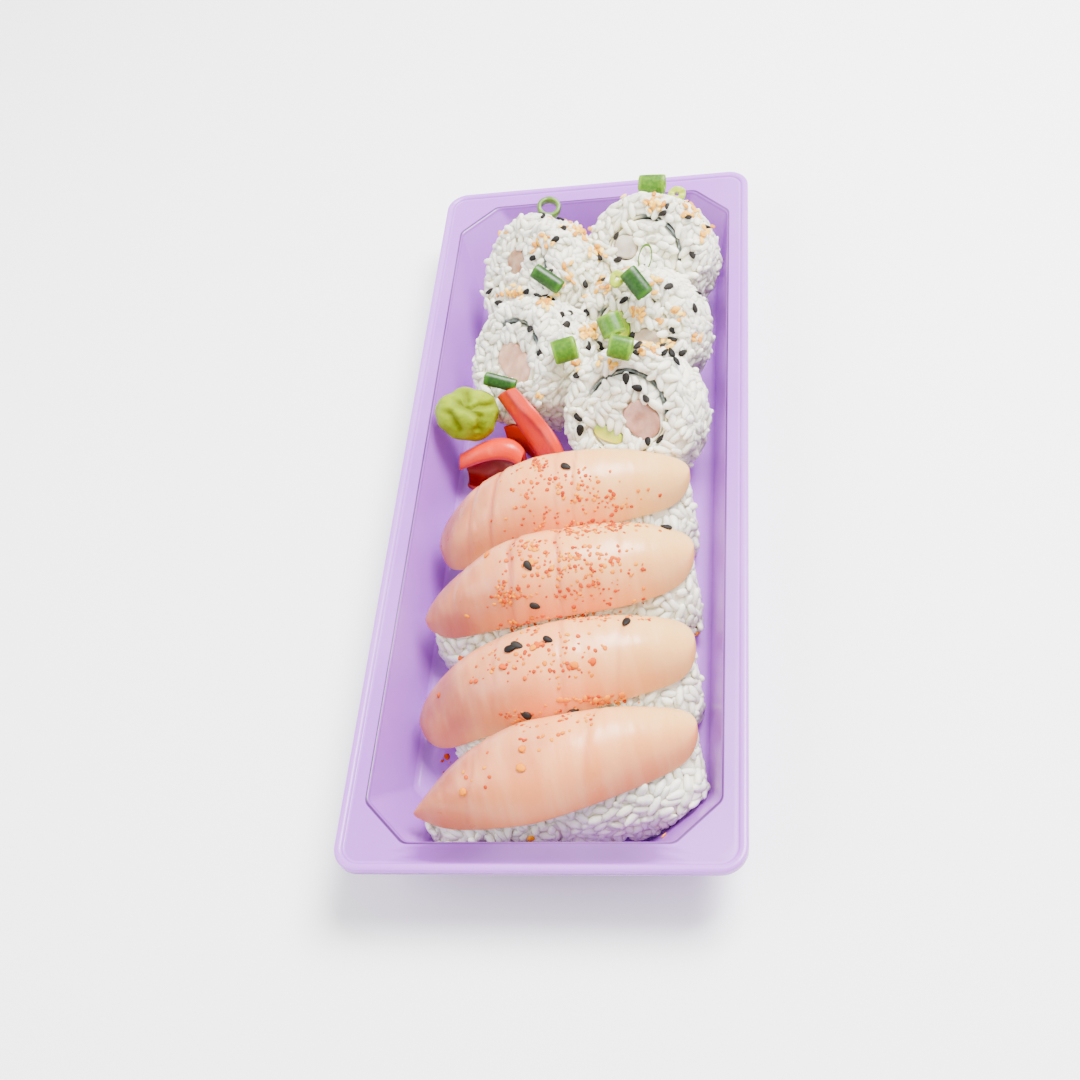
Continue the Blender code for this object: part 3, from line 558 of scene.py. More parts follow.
def egg_shape(rings, columns, sharp=0.0):
    """A closed egg along X: rings of points between two poles; sharp narrows one end."""
    lengthwise = np.cos(np.linspace(0, math.pi, rings + 2)[1:-1])[:, None]
    reach = np.sqrt(1 - lengthwise ** 2) * (1 - sharp * lengthwise)
    body = np.roll(carried_round(reach, full_turn(columns), lengthwise), 1, axis=-1)
    points = np.vstack([body.reshape(-1, 3), (1, 0, 0), (-1, 0, 0)])
    quads = grid_quads(rings, columns)
    first = np.arange(columns)
    after = (first + 1) % columns
    last = (rings - 1) * columns
    near = np.stack([after, first, np.full(columns, rings * columns)], axis=1)
    far = np.stack([last + first, last + after, np.full(columns, rings * columns + 1)], axis=1)
    return points, quads, np.vstack([near, far])


def copies(shape, spots, axes, sizes):
    """One mesh's arrays for many copies of a shape, each with its own axes and sizes."""
    points, quads, triangles = shape
    placed = np.einsum("nk,pk,nkj->npj", sizes, points, axes) + spots[:, None, :]
    shift = (np.arange(len(spots)) * len(points))[:, None, None]
    return (placed.reshape(-1, 3), (quads[None] + shift).reshape(-1, 4),
            (triangles[None] + shift).reshape(-1, 3))


def joined(*parts):
    """Joins several arrays of points, quads and triangles into one set."""
    points, quads, triangles, start = [], [], [], 0
    for part_points, part_quads, part_triangles in parts:
        points.append(part_points)
        quads.append(part_quads + start)
        triangles.append(part_triangles + start)
        start += len(part_points)
    return np.vstack(points), np.vstack(quads), np.vstack(triangles)


# Materials


class Finish:
    """One material under construction: adds nodes, joins them and sets the shader."""

    def __init__(self, name, **sockets):
        self.material = bpy.data.materials.new(name)
        self.material.use_nodes = True
        self.tree = self.material.node_tree
        self.shader = self.tree.nodes["Principled BSDF"]
        self.place = self.tree.nodes.new("ShaderNodeTexCoord").outputs["Object"]
        for socket, value in sockets.items():
            self.shader.inputs[socket.replace("_", " ")].default_value = value

    def add(self, kind, sockets, **choices):
        """Adds a node with its choices, joining or setting each named socket."""
        node = self.tree.nodes.new(kind)
        for choice, value in choices.items():
            setattr(node, choice, value)
        for socket, value in sockets.items():
            self.put(node.inputs[socket], value)
        return node

    def put(self, socket, value):
        """Joins a socket to another one, or sets it to a value."""
        if isinstance(value, bpy.types.NodeSocket):
            self.tree.links.new(value, socket)
        elif hasattr(value, "__len__") and len(value) == 3 and socket.type == "RGBA":
            socket.default_value = (*value, 1.0)
        else:
            socket.default_value = value

    def noise(self, size, detail=2.0, where=None):
        """Soft noise with spots of about one size in metres."""
        return self.add("ShaderNodeTexNoise", {"Vector": where or self.place, "Scale": 1 / size,
                                               "Detail": detail}).outputs["Fac"]

    def stretched(self, stretch, where=None):
        """Coordinates stretched along their axes."""
        return self.add("ShaderNodeMapping", {"Vector": where or self.place,
                                              "Scale": stretch}).outputs["Vector"]

    def value(self, name):
        """The number that the piece's points carry under a name."""
        return self.add("ShaderNodeAttribute", {}, attribute_name=name).outputs["Fac"]

    def between(self, value, low, high, start=0.0, end=1.0):
        """Maps a value from one range to another, held at its ends."""
        return self.add("ShaderNodeMapRange", {"Value": value, "From Min": low, "From Max": high,
                                               "To Min": start, "To Max": end}).outputs["Result"]

    def sum(self, first, second, operation="ADD"):
        """Arithmetic on two values."""
        node = self.add("ShaderNodeMath", {}, operation=operation)
        self.put(node.inputs[0], first)
        self.put(node.inputs[1], second)
        return node.outputs[0]

    def blend(self, share, first, second, way="MIX"):
        """Mixes two colours by a share."""
        node = self.add("ShaderNodeMix", {}, data_type="RGBA", blend_type=way)
        self.put(node.inputs["Factor"], share)
        self.put(node.inputs[6], first)
        self.put(node.inputs[7], second)
        return node.outputs[2]

    def bump(self, height, distance, strength=1.0, normal=None):
        """Relief from a height between 0 and 1, times a distance in metres."""
        sockets = {"Height": height, "Distance": distance, "Strength": strength}
        if normal is not None:
            sockets["Normal"] = normal
        return self.add("ShaderNodeBump", sockets).outputs["Normal"]

    def finish(self, **sockets):
        """Joins values to the shader's sockets and gives the material."""
        for socket, value in sockets.items():
            self.put(self.shader.inputs[socket.replace("_", " ")], value)
        return self.material


def rice_material():
    """Cooked rice: moist, translucent white, each grain a little different, with painted shade on
    the core between the grains.
    """
    rice = bpy.context.scene.sushi_rice
    made = Finish("cooked_rice", Roughness=0.45, Subsurface_Weight=0.6, Specular_IOR_Level=0.35,
                  Subsurface_Radius=(1.0, 0.95, 0.85), Subsurface_Scale=3.5 * MM)
    tint = made.value("tint")
    patches = made.noise(7 * MM, 2.0)
    white = made.blend(tint, rice.shade[:], rice.white[:])
    milky = made.blend(made.between(patches, 0.35, 0.7, 0.0, 0.35), white, linear(*MILKY_RICE))
    relief = made.bump(made.noise(0.7 * MM, 3.0), 0.12 * MM, 0.5)
    return made.finish(Base_Color=milky, Normal=relief)


def fish_material(warmth):
    """Raw white fish: pink at the left through warm to cream, with faint pale lines across; the
    left tip's darkness and the slits are painted shade.
    """
    fish = bpy.context.scene.sushi_fish
    made = Finish(f"raw_fish_{round(warmth * 100)}", Roughness=0.36, Subsurface_Weight=0.25,
                  Subsurface_Radius=(1.0, 0.45, 0.3), Subsurface_Scale=3.0 * MM,
                  Specular_IOR_Level=0.35, Coat_Weight=0.12, Coat_Roughness=0.2)
    along = made.value("along")
    across = made.value("across")
    patches = made.noise(13 * MM, 3.0)
    shifted = made.sum(along, made.between(patches, 0.2, 0.8, -0.3 - 0.35 * warmth,
                                           0.3 - 0.35 * warmth))
    left = made.blend(made.between(shifted, -0.95, -0.2), fish.pink[:], fish.warm[:])
    base = made.blend(made.between(shifted, -0.1, 0.6), left, fish.cream[:])
    warm = made.sum(made.between(across, 0.1, -0.95, 0.0, warmth),
                    made.between(patches, 0.4, 0.75, 0.0, 0.4 * warmth))
    warmed = made.blend(warm, base, fish.blush[:])
    lines = made.add("ShaderNodeCombineXYZ", {"X": along, "Y": made.sum(across, 0.08, "MULTIPLY")})
    fibre = made.noise(0.13, 2.0, lines.outputs["Vector"])
    pale = made.blend(made.between(fibre, 0.42, 0.7, 0.0, 0.16), warmed, linear(*FISH_PALE))
    streak = made.noise(0.03, 2.0, lines.outputs["Vector"])
    lined = made.blend(made.between(streak, 0.5, 0.8, 0.0, 0.12), pale, linear(*FISH_LINE))
    # Painted shade in the slits
    final = made.blend(made.value("crease"), lined, linear(*FISH_CREASE))
    relief = made.bump(streak, 0.12 * MM, 0.4)
    moist = made.bump(made.noise(0.5 * MM, 2.0), 0.03 * MM, 0.5, relief)
    gloss = made.between(made.noise(6 * MM, 2.0), 0.3, 0.7, 0.26, 0.44)
    return made.finish(Base_Color=final, Normal=moist, Roughness=gloss)


def tray_material():
    """Milky lilac plastic, deeper on the walls than on the flange and floor, the walls' deeper tone
    being painted shade.
    """
    tray = bpy.context.scene.sushi_tray
    made = Finish("lilac_plastic", Roughness=0.27, IOR=1.49, Subsurface_Weight=0.3,
                  Subsurface_Radius=(1.0, 0.8, 1.0), Subsurface_Scale=5.0 * MM,
                  Specular_IOR_Level=0.4)
    depth = made.value("wall")
    cloud = made.noise(30 * MM, 1.5)
    # The deep tone is the plastic's own on the flange and painted shade on the walls, skirt and
    # creases
    walls = made.blend(depth, tray.plastic[:], tray.deep[:])
    # Shares from 1 to 2 run to the painted dark crease line of shade at the lip
    base = made.blend(made.between(depth, 1.0, 2.0), walls, linear(*PLASTIC_LINE))
    mild = made.blend(made.between(cloud, 0.3, 0.7, 0.0, 0.14), base, linear(*PLASTIC_CLOUD))
    wave = made.bump(made.noise(9 * MM, 1.0), 0.10 * MM, 0.5)
    return made.finish(Base_Color=mild, Normal=wave)


def nori_material():
    """Seaweed sheet: dark green-black with a papery grain, under a film of rice in places."""
    made = Finish("seaweed", Roughness=0.5)
    grain = made.noise(1.3 * MM, 4.0)
    sheet = made.blend(made.between(grain, 0.3, 0.7), linear(*SEAWEED_DARK),
                       linear(*SEAWEED_LIGHT))
    film = made.sum(made.value("covered"), made.between(grain, 0.55, 0.75, 0.0, 0.5))
    coated = made.blend(film, sheet, bpy.context.scene.sushi_rice.shade[:])
    return made.finish(Base_Color=coated, Normal=made.bump(grain, 0.2 * MM, 0.6))


def filling_fish_material(number):
    """The strip of fish inside a roll, moist, in the tones of that roll."""
    made = Finish(f"filling_fish_{number + 1}", Roughness=0.3, Subsurface_Weight=0.2,
                  Subsurface_Radius=(1.0, 0.6, 0.45), Subsurface_Scale=1.5 * MM,
                  Specular_IOR_Level=0.4, Coat_Weight=0.15, Coat_Roughness=0.2)
    fibre = made.noise(3.5 * MM, 3.0)
    dark, light = FILLING_TONES[number]
    colour = made.blend(made.between(fibre, 0.3, 0.7), linear(*dark), linear(*light))
    return made.finish(Base_Color=colour, Normal=made.bump(fibre, 0.4 * MM, 0.5))


def avocado_material():
    """Avocado: yellow-green flesh, greener towards the skin side."""
    made = Finish("avocado", Roughness=0.36, Subsurface_Weight=0.2,
                  Subsurface_Radius=(1.0, 1.0, 0.4), Subsurface_Scale=1.5 * MM)
    side = made.value("side")
    blotch = made.noise(2.5 * MM, 3.0)
    share = made.sum(made.between(side, -0.9, 0.9), made.between(blotch, 0.2, 0.8, -0.2, 0.2))
    colour = made.blend(share, linear(*AVOCADO_YELLOW), linear(*AVOCADO_GREEN))
    return made.finish(Base_Color=colour, Normal=made.bump(blotch, 0.3 * MM, 0.5))


def wasabi_material():
    """Wasabi paste: matt yellow-green with a pasty grain, darker in its creases as painted shade.
    """
    made = Finish("wasabi_paste", Roughness=0.55, Subsurface_Weight=0.08, Specular_IOR_Level=0.1,
                  Subsurface_Radius=(1.0, 1.0, 0.3), Subsurface_Scale=1.5 * MM)
    cloud = made.noise(5 * MM, 3.0)
    base = bpy.context.scene.sushi_garnish.wasabi[:]
    light = made.blend(made.between(cloud, 0.35, 0.7), base, linear(*WASABI_LIGHT))
    colour = made.blend(made.value("crease"), light, linear(*WASABI_CREASE))
    grain = made.bump(made.noise(0.9 * MM, 4.0), 0.25 * MM, 0.6)
    return made.finish(Base_Color=colour, Normal=grain)


def ginger_material():
    """Pickled ginger: coral, deeper red at its edges and as painted shade in its folds, with fine
    fibres along it.
    """
    garnish = bpy.context.scene.sushi_garnish
    made = Finish("pickled_ginger", Roughness=0.36, Subsurface_Weight=0.1,
                  Subsurface_Radius=(1.0, 0.4, 0.2), Subsurface_Scale=1.0 * MM,
                  Specular_IOR_Level=0.3, Coat_Weight=0.1, Coat_Roughness=0.25)
    fold = made.value("fold")
    cloud = made.noise(4 * MM, 3.0)
    share = made.sum(fold, made.between(cloud, 0.2, 0.8, -0.25, 0.25))
    colour = made.blend(made.between(share, 0.15, 0.95), garnish.ginger[:], garnish.ginger_deep[:])
    pale = made.blend(made.between(cloud, 0.6, 0.8, 0.0, 0.35), colour, linear(*GINGER_PALE))
    fibre = made.noise(0.8 * MM, 3.0, made.stretched((1.0, 0.2, 0.2)))
    return made.finish(Base_Color=pale, Normal=made.bump(fibre, 0.15 * MM, 0.6))


def onion_material(tone):
    """Spring onion: green skin, paler on its inner side and on its cut edges."""
    skin, inside = ONION_TONES[tone]
    made = Finish(f"spring_onion_{tone}", Roughness=0.36, Subsurface_Weight=0.12,
                  Subsurface_Radius=(0.5, 1.0, 0.2), Subsurface_Scale=1.0 * MM,
                  Specular_IOR_Level=0.35)
    inner = made.value("inner")
    streak = made.noise(0.9 * MM, 3.0)
    base = made.blend(inner, linear(*skin), linear(*inside))
    shade = made.blend(made.between(streak, 0.4, 0.75, 0.0, 0.35), base, linear(*inside))
    return made.finish(Base_Color=shade, Normal=made.bump(streak, 0.1 * MM, 0.5))


def speckled_material(name, first, second, third, roughness):
    """Seeds or flakes whose colour runs through three tones from piece to piece."""
    made = Finish(name, Roughness=roughness, Specular_IOR_Level=0.15)
    tint = made.value("tint")
    low = made.blend(made.between(tint, 0.0, 0.55), linear(*first), linear(*second))
    full = made.blend(made.between(tint, 0.55, 1.0), low, linear(*third))
    grain = made.noise(0.4 * MM, 2.0)
    shade = made.blend(made.between(grain, 0.4, 0.8, 0.0, 0.3), full, linear(*second))
    return made.finish(Base_Color=shade, Normal=made.bump(grain, 0.06 * MM, 0.6))


# Tray


def corner_loop(half_x, half_y, chamfer, radius, z, steps=7, sides=12):
    """Rectangle with cut corners: each corner is two arcs of 45 degrees, a straight between.

    The straight sides have a few points of their own, so that colours stay even along them.
    """
    shift = radius * math.tan(math.radians(22.5))
    first = np.radians(np.linspace(0, 45, steps))
    angles = np.concatenate([first, first + math.pi / 4])
    corners = []
    for corner in range(4):
        reach = (half_y, half_x) if corner % 2 else (half_x, half_y)
        near = np.tile((reach[0] - radius, reach[1] - chamfer - shift), (steps, 1))
        far = np.tile((reach[0] - chamfer - shift, reach[1] - radius), (steps, 1))
        arcs = np.vstack([near, far]) + radius * np.stack([np.cos(angles), np.sin(angles)], 1)
        corners.append(np.stack([*turned(*arcs.T, 90 * corner), np.full(2 * steps, z)], axis=1))
    share = np.linspace(0, 1, sides + 2)[1:-1, None]
    points = []
    for corner, following in zip(corners, corners[1:] + corners[:1]):
        points += [corner, corner[-1] + (following[0] - corner[-1]) * share]
    return np.vstack(points)


def rim_loop(inset, z):
    """Outline of the round-cornered outer rim, moved in by an inset."""
    radius = OUTER_CORNER - inset
    blend = radius * (1 - math.tan(math.radians(22.5)))
    return corner_loop(TRAY_WIDTH / 2 - inset, TRAY_LENGTH / 2 - inset, blend, radius, z)


def hollow_at(depth, inset):
    """Half width, half length and corner cut of the hollow, from its mouth at 0 to 1."""
    lean = WALL_DRAFT * depth + inset
    return (TRAY_WIDTH / 2 - FLANGE_SIDE - lean, TRAY_LENGTH / 2 - FLANGE_END - lean,
            MOUTH_CHAMFER + (FLOOR_CHAMFER - MOUTH_CHAMFER) * depth)


def mouth_loop(depth, inset, z, radius=3 * MM):
    """Eight-sided outline of the hollow at a depth, moved in by an inset."""
    return corner_loop(*hollow_at(depth, inset), radius, z)


def tray_loops(tray):
    """Loops from the skirt over the bead and flange, down the wall and over the floor.

    The bead is half an oval of its own width and rise, and the lip and the wall's foot are
    quarter circles. Each loop has a share from 0 to 2 for how deep its colour is: on the flange
    the plastic's own deeper tone, on the skirt, the bead's inner foot, the walls and the wall's
    foot painted shade, and from 1 to 2 at the lip a painted dark crease line of shade.
    """
    flat = TRAY_HEIGHT - tray.bead_rise
    loops = [(rim_loop(0, TRAY_HEIGHT - tray.skirt), 0.6),
             (rim_loop(0, TRAY_HEIGHT - 0.9 * MM), 0.35)]
    for angle in np.linspace(0.15, math.pi, 9):
        inset = tray.bead / 2 * (1 - math.cos(angle))
        rise = tray.bead_rise * math.sin(angle)
        loops.append((rim_loop(inset, flat + rise), 0.10 if angle < 2.8 else 0.45))
    loops.append((rim_loop(tray.bead + 0.35 * MM, flat - 0.05 * MM), 0.12))
    outer, inner = rim_loop(tray.bead + 0.8 * MM, flat), mouth_loop(0, -0.7 * MM, flat)
    for share in np.linspace(0, 1, 6):
        loops.append((outer + (inner - outer) * share, 0.42))
    # The lip's first loops take the painted dark crease line of shade
    for angle in np.linspace(0, math.pi / 2, 6):
        inset = LIP_START + LIP_ROUND * math.sin(angle)
        sink = LIP_ROUND * (1 - math.cos(angle))
        loops.append((mouth_loop(0, inset, flat - sink), 2.0 if angle < 0.4 else 0.7))
    foot = tray.sheet + FOOT_ROUND
    lip = flat - LIP_ROUND
    for depth in (0.02, *np.linspace(0.12, 0.95, 7)):
        z = lip + (foot - lip) * depth / 0.95
        inset = (LIP_START + LIP_ROUND) * (1 - depth)
        loops.append((mouth_loop(depth, inset, z), 0.5 + 0.15 * depth))
    for angle in np.linspace(0.25, math.pi / 2, 5):
        inset = FOOT_ROUND * (1 - math.cos(angle))
        z = foot - FOOT_ROUND * math.sin(angle)
        loops.append((mouth_loop(1, inset, z), 0.4 - 0.3 * angle / 1.6))
    last = loops[-1][0]
    for share in (0.94, 0.8, 0.5, 0.2, 0.0):
        loops.append((last * (share, share, 1), 0.0))
    return loops


def near_band(points):
    """Share from 0 to 1 of the painted shadow on the near flange, which fades to its corners."""
    out = -points[:, 1] - (TRAY_LENGTH / 2 - FLANGE_END)
    band = smooth_step(0, MM, out) * (1 - smooth_step(4 * MM, 6 * MM, out))
    band = band * (1 - smooth_step(18 * MM, 36 * MM, np.abs(points[:, 0])))
    return band * (points[:, 2] > 0.9 * TRAY_HEIGHT)


class SUSHI_OT_tray(bpy.types.Operator):
    """Makes the plastic tray"""

    bl_idname = "sushi.tray"
    bl_label = "Tray"

    def execute(self, context):
        tray = context.scene.sushi_tray
        loops = tray_loops(tray)
        columns = len(loops[0][0])
        points = np.vstack([loop for loop, _ in loops])
        mesh = build_mesh("tray_sheet", points, grid_quads(len(loops), columns)[:, ::-1])
        wall = np.repeat([depth for _, depth in loops], columns)
        # The share paints shade on the walls and creases, and a painted shadow on the near flange
        add_values(mesh, "wall", np.maximum(wall, NEAR_BAND_DEPTH * near_band(points)))
        weld(mesh, outward=False)
        if sum(face.normal.z * face.area for face in mesh.polygons) < 0:
            mesh.flip_normals()
        piece = add_piece(mesh, tray_material(), "tray")
        sheet = piece.modifiers.new("sheet", "SOLIDIFY")
        sheet.thickness = tray.sheet
        sheet.offset = -1
        sheet.use_even_offset = True
        return {"FINISHED"}


# Nigiri


def crown_height(row, share):
    """Height of a slice's underside along its middle line: a power curve down to each end."""
    left = row.left_drop * np.maximum(-share, 0) ** 2.2
    right = RIGHT_DROP * np.maximum(share, 0) ** 2.4
    return row.crown - left - right


def slice_edges(row, share):
    """Places of a slice's front and back edges, which turn in towards both ends."""
    left = np.maximum(0, (-share - 0.1) / 0.9) ** 1.8
    right = np.maximum(0, (share - row.right_start) / (1 - row.right_start)) ** 2
    reach = [row.half_width * (1 - (1 - row.left_tip[side]) * left
                               - (1 - row.right_tip[side]) * right) for side in (0, 1)]
    return -reach[0], reach[1]


def under_height(row, share, aside):
    """Height of a slice's underside at a place across it, which drops to both sides."""
    front, back = slice_edges(row, share)
    across = (aside - (front + back) / 2) / ((back - front) / 2)
    drop = SIDE_DROP * (1 - 0.45 * np.abs(share) ** 3)
    return crown_height(row, share) - drop * np.minimum(1, np.abs(across)) ** 2.3


def to_tray(number, points):
    """Turns and moves points from a nigiri's own axes to the tray's."""
    row = NIGIRI[number]
    x, y = turned(points[..., 0], points[..., 1], row.turn)
    return np.stack([row.x + x, row.y + y, points[..., 2]], axis=-1)


def slice_relief(number, length, aside, share, across):
    """Height of folds and slits over a slice, and how deep each place lies in a slit, which is the
    share of painted shade there.

    The height is broad noise, less a narrow bell-shaped dip at each slit.
    """
    flat = np.stack([length, aside, np.full_like(length, number * 7 * MM)], axis=-1)
    relief = 0.45 * MM * smooth_noise(flat, 9 * MM, number)
    relief += 0.10 * MM * smooth_noise(flat * (2.2, 0.5, 1), 2.4 * MM, number + 20)
    wander = 0.6 * MM * smooth_noise(flat * (0.2, 1, 1), 4 * MM, number + 40)
    crease = np.zeros_like(length)
    for place, slant, depth, reach in SLITS[number]:
        offset = length - (place + slant * across) * NIGIRI[number].half_length + wander
        dip = np.exp(-(offset / reach) ** 2)
        lip = np.exp(-((offset - 1.8 * reach) / reach) ** 2)
        fade = 1 - 0.6 * np.abs(across) ** 4
        relief -= depth * (dip - 0.45 * lip) * fade
        crease += depth / (0.45 * MM) * dip ** 2 * fade
    return relief, np.clip(crease, 0, 1)


def slice_grid(number, rows=150, columns=80):
    """Closed loops round a slice: its mid surface plus and minus half the thickness there.

    Both edges and both ends are rounded by a power curve.
    """
    row = NIGIRI[number]
    start, end = row.fish_ends
    run = np.linspace(-1, 1, rows)
    run = np.sign(run) * (1 - (1 - np.abs(run)) ** 1.5)
    share = (start + end) / 2 + (end - start) / 2 * run
    nose = (1 - np.abs(run) ** np.where(run > 0, 14, 12)) ** np.where(run > 0, 0.5, 0.6)
    angles = full_turn(columns)
    across = np.cos(angles)
    side = np.sign(np.sin(angles)) * (1 - np.abs(across) ** 8) ** 0.5
    share, across = np.meshgrid(share, across, indexing="ij")
    nose, side = np.meshgrid(nose, side, indexing="ij")
    front, back = slice_edges(row, share)
    aside = (front + back) / 2 + across * nose * (back - front) / 2
    edge = FISH_THICKNESS * (1 - 0.42 * np.abs(share) ** 3) * (1 - 0.62 * np.abs(across) ** 5)
    middle = under_height(row, share, aside) + edge / 2
    length = share * row.half_length
    height = middle + side * edge / 2 * (0.35 + 0.65 * nose)
    relief, crease = slice_relief(number, length, aside, share, across)
    height += relief * np.clip(side, 0, 1)
    points = np.stack([length, aside, height], axis=-1)
    return to_tray(number, points), share, across, crease * (side > 0)


class SUSHI_OT_fish(bpy.types.Operator):
    """Makes the slices of raw fish on the nigiri"""

    bl_idname = "sushi.fish"
    bl_label = "Fish slices"

    def execute(self, context):
        for number, warmth in enumerate(FISH_WARMTHS):
            points, share, across, crease = slice_grid(number)
            surface_piece(f"fish_slice_{number + 1}", points, grid_quads(*share.shape),
                          fish_material(warmth), "fish", f"nigiri_fish_{number + 1}",
                          along=share, across=across, crease=crease)
        return {"FINISHED"}


def rice_block_grid(number, rows=90, columns=80):
    """Closed loops round a block of rice: an arched top, bulging sides and a flat foot."""
    row = NIGIRI[number]
    start, end = row.rice_ends
    share = np.linspace(start, end, rows)[:, None]
    near_end = np.clip(np.minimum(share - start, end - share) / 0.14, 0, 1)
    shrink = 0.55 + 0.45 * np.sqrt(1 - (1 - near_end) ** 2)
    taper = np.maximum(0, (-share - 0.3) / 0.7)
    half = (row.half_width - RICE_SET_BACK) * (1 - 0.3 * taper ** 2) * shrink
    centre = 0.35 * sum(slice_edges(row, share)) * taper
    around = full_turn(columns)[None]
    across, lift = squared(around, 0.75)[0], squared(around, 0.6)[1]
    top = under_height(row, share, centre + 0.94 * across * half) - RICE_CLEARANCE
    top = np.maximum(top - (1 - shrink) * 6 * MM, 5 * MM)
    middle = FLOOR + 0.42 * (top - FLOOR)
    height = np.where(lift > 0, middle + (top - middle) * lift, middle + (middle - FLOOR) * lift)
    length = np.broadcast_to(share * row.half_length, height.shape)
    return np.stack([length, centre + across * half, height], axis=-1)


def with_ends(grid):
    """Closes a tube of loops with loops that shrink to a point at each end."""
    shares = np.array((0.0, 0.4, 0.75))[:, None, None]
    first, last = (end.mean(axis=0) + (end - end.mean(axis=0)) * shares
                   for end in (grid[0], grid[-1]))
    return np.concatenate([first, grid, last[::-1]])


def keep_in_hollow(points, margin):
    """Moves points that lie outside the tray's hollow in to its walls, less a margin."""
    depth = np.clip((TRAY_HEIGHT - points[..., 2]) / (TRAY_HEIGHT - HOLLOW_FOOT), 0, 1)
    half_x, half_y, chamfer = hollow_at(depth, margin)
    x = np.clip(points[..., 0], -half_x, half_x)
    y = np.clip(points[..., 1], -half_y, half_y)
    over = np.maximum(np.abs(x) + np.abs(y) - (half_x + half_y - chamfer), 0) / 2
    return np.stack([x - np.sign(x) * over, y - np.sign(y) * over, points[..., 2]], axis=-1)


def bare_rice(number, spots, normals):
    """Whether spots on a block of rice lie outside the slice of fish over it."""
    row = NIGIRI[number]
    length, aside = turned(spots[:, 0] - row.x, spots[:, 1] - row.y, -row.turn)
    share = length / row.half_length
    front, back = slice_edges(row, share)
    outside = (aside < front) | (aside > back) | (share > row.fish_ends[1])
    under = spots[:, 2] < under_height(row, share, aside) - 1.6 * MM
    shown = outside | (under & (normals[:, 2] < 0.7))
    return shown & (normals[:, 2] > -0.7) & (spots[:, 2] > 2.2 * MM)


def grains_on(spots, normals, random, sink):
    """Arrays for cooked grains that lie on a surface, partly sunk in, and their tints."""
    rice = bpy.context.scene.sushi_rice
    axes = lie_on(spots, normals, random, 0.22)
    size = random.normal(1, 0.08, (len(spots), 1))
    half = np.array((rice.grain_length, rice.grain_width, 0.8 * rice.grain_width)) / 2
    sizes = np.clip(size, 0.8, 1.2) * half * random.uniform(0.9, 1.1, (len(spots), 3))
    lifted = spots + axes[:, 2] * (sizes[:, 2:] * (1 - sink))
    shape = egg_shape(5, 8, 0.12)
    tint = np.repeat(random.uniform(0.4, 1, len(spots)), len(shape[0]))
    return copies(shape, lifted, axes, sizes), tint


def rice_piece(name, node, surface, cover, spots, normals, random, material, roll=None):
    """A core's points and quads with grains over them, as one piece.

    Where they are given on a roll's own axes, both are moved to the tray's. Grains that would
    sink into the tray's floor are lifted on to it.
    """
    kept = thin_out(spots, bpy.context.scene.sushi_rice.spacing)
    grains, tint = grains_on(spots[kept], normals[kept], random, cover.sink)
    core = (surface[0].reshape(-1, 3), surface[1], NO_TRIANGLES)
    if roll is not None:
        core, grains = ((roll_to_tray(roll, part[0]), *part[1:]) for part in (core, grains))
    each = grains[0].reshape(len(kept), -1, 3)
    each[..., 2] += np.maximum(FLOOR - each[..., 2].min(axis=1, keepdims=True), 0)
    mesh = build_mesh(name, *joined(core, grains))
    # The core's tint towards the shade colour paints shade between the grains
    add_values(mesh, "tint", np.concatenate([np.full(len(core[0]), cover.core_tint), tint]))
    weld(mesh)
    add_piece(mesh, material, node)


class SUSHI_OT_nigiri_rice(bpy.types.Operator):
    """Makes the pressed rice under the slices of fish"""

    bl_idname = "sushi.nigiri_rice"
    bl_label = "Nigiri rice"

    def execute(self, context):
        material = rice_material()
        for number in range(len(NIGIRI)):
            random = np.random.default_rng(NIGIRI_COVER.seed + number)
            local = rice_block_grid(number)
            relief = 0.35 * MM * smooth_noise(local, 2.6 * MM, number)
            middle = local.mean(axis=1, keepdims=True)
            local = local + unit(local - middle) * relief[..., None] * (local[..., 2:] > 2 * MM)
            grid = keep_in_hollow(with_ends(to_tray(number, local)), 0.9 * MM)
            spots, normals = sample_grid(grid, NIGIRI_COVER.tries, random)
            if ((spots - grid.reshape(-1, 3).mean(axis=0)) * normals).sum() < 0:
                normals = -normals
            shown = bare_rice(number, spots, normals)
            rice_piece(f"nigiri_rice_grains_{number + 1}", f"nigiri_rice_{number + 1}",
                       (grid, grid_quads(*grid.shape[:2])), NIGIRI_COVER, spots[shown],
                       normals[shown], random, material)
        return {"FINISHED"}


# Rolls


def roll_place(number):
    """Placement of a roll: its own Z is the outward normal of its upper cut face."""
    middle_x, middle_y, azimuth, lean, radius, thickness = ROLLS[number]
    turn, rise = math.radians(azimuth), math.radians(lean)
    normal = np.array((math.cos(turn) * math.cos(rise), math.sin(turn) * math.cos(rise),
                       math.sin(rise)))
    level = np.array((-math.sin(turn), math.cos(turn), 0))
    lowest = (radius + 0.45 * MM) * math.cos(rise) + thickness / 2 * math.sin(rise)
    middle = np.array((middle_x, middle_y, FLOOR + 0.3 * MM + lowest))
    return middle, np.stack([level, np.cross(normal, level), normal])


def roll_to_tray(number, points):
    """Moves points from a roll's own axes to the tray's."""
    middle, axes = roll_place(number)
    return points @ axes + middle


def roll_squeeze(angle, number):
    """How far a roll is out of round, as a share of its radius, by two sine waves."""
    return (0.012 * (1 + np.sin(2 * angle + 1.7 * number))
            + 0.012 * (1 + np.sin(3 * angle + 2.9 * number)))


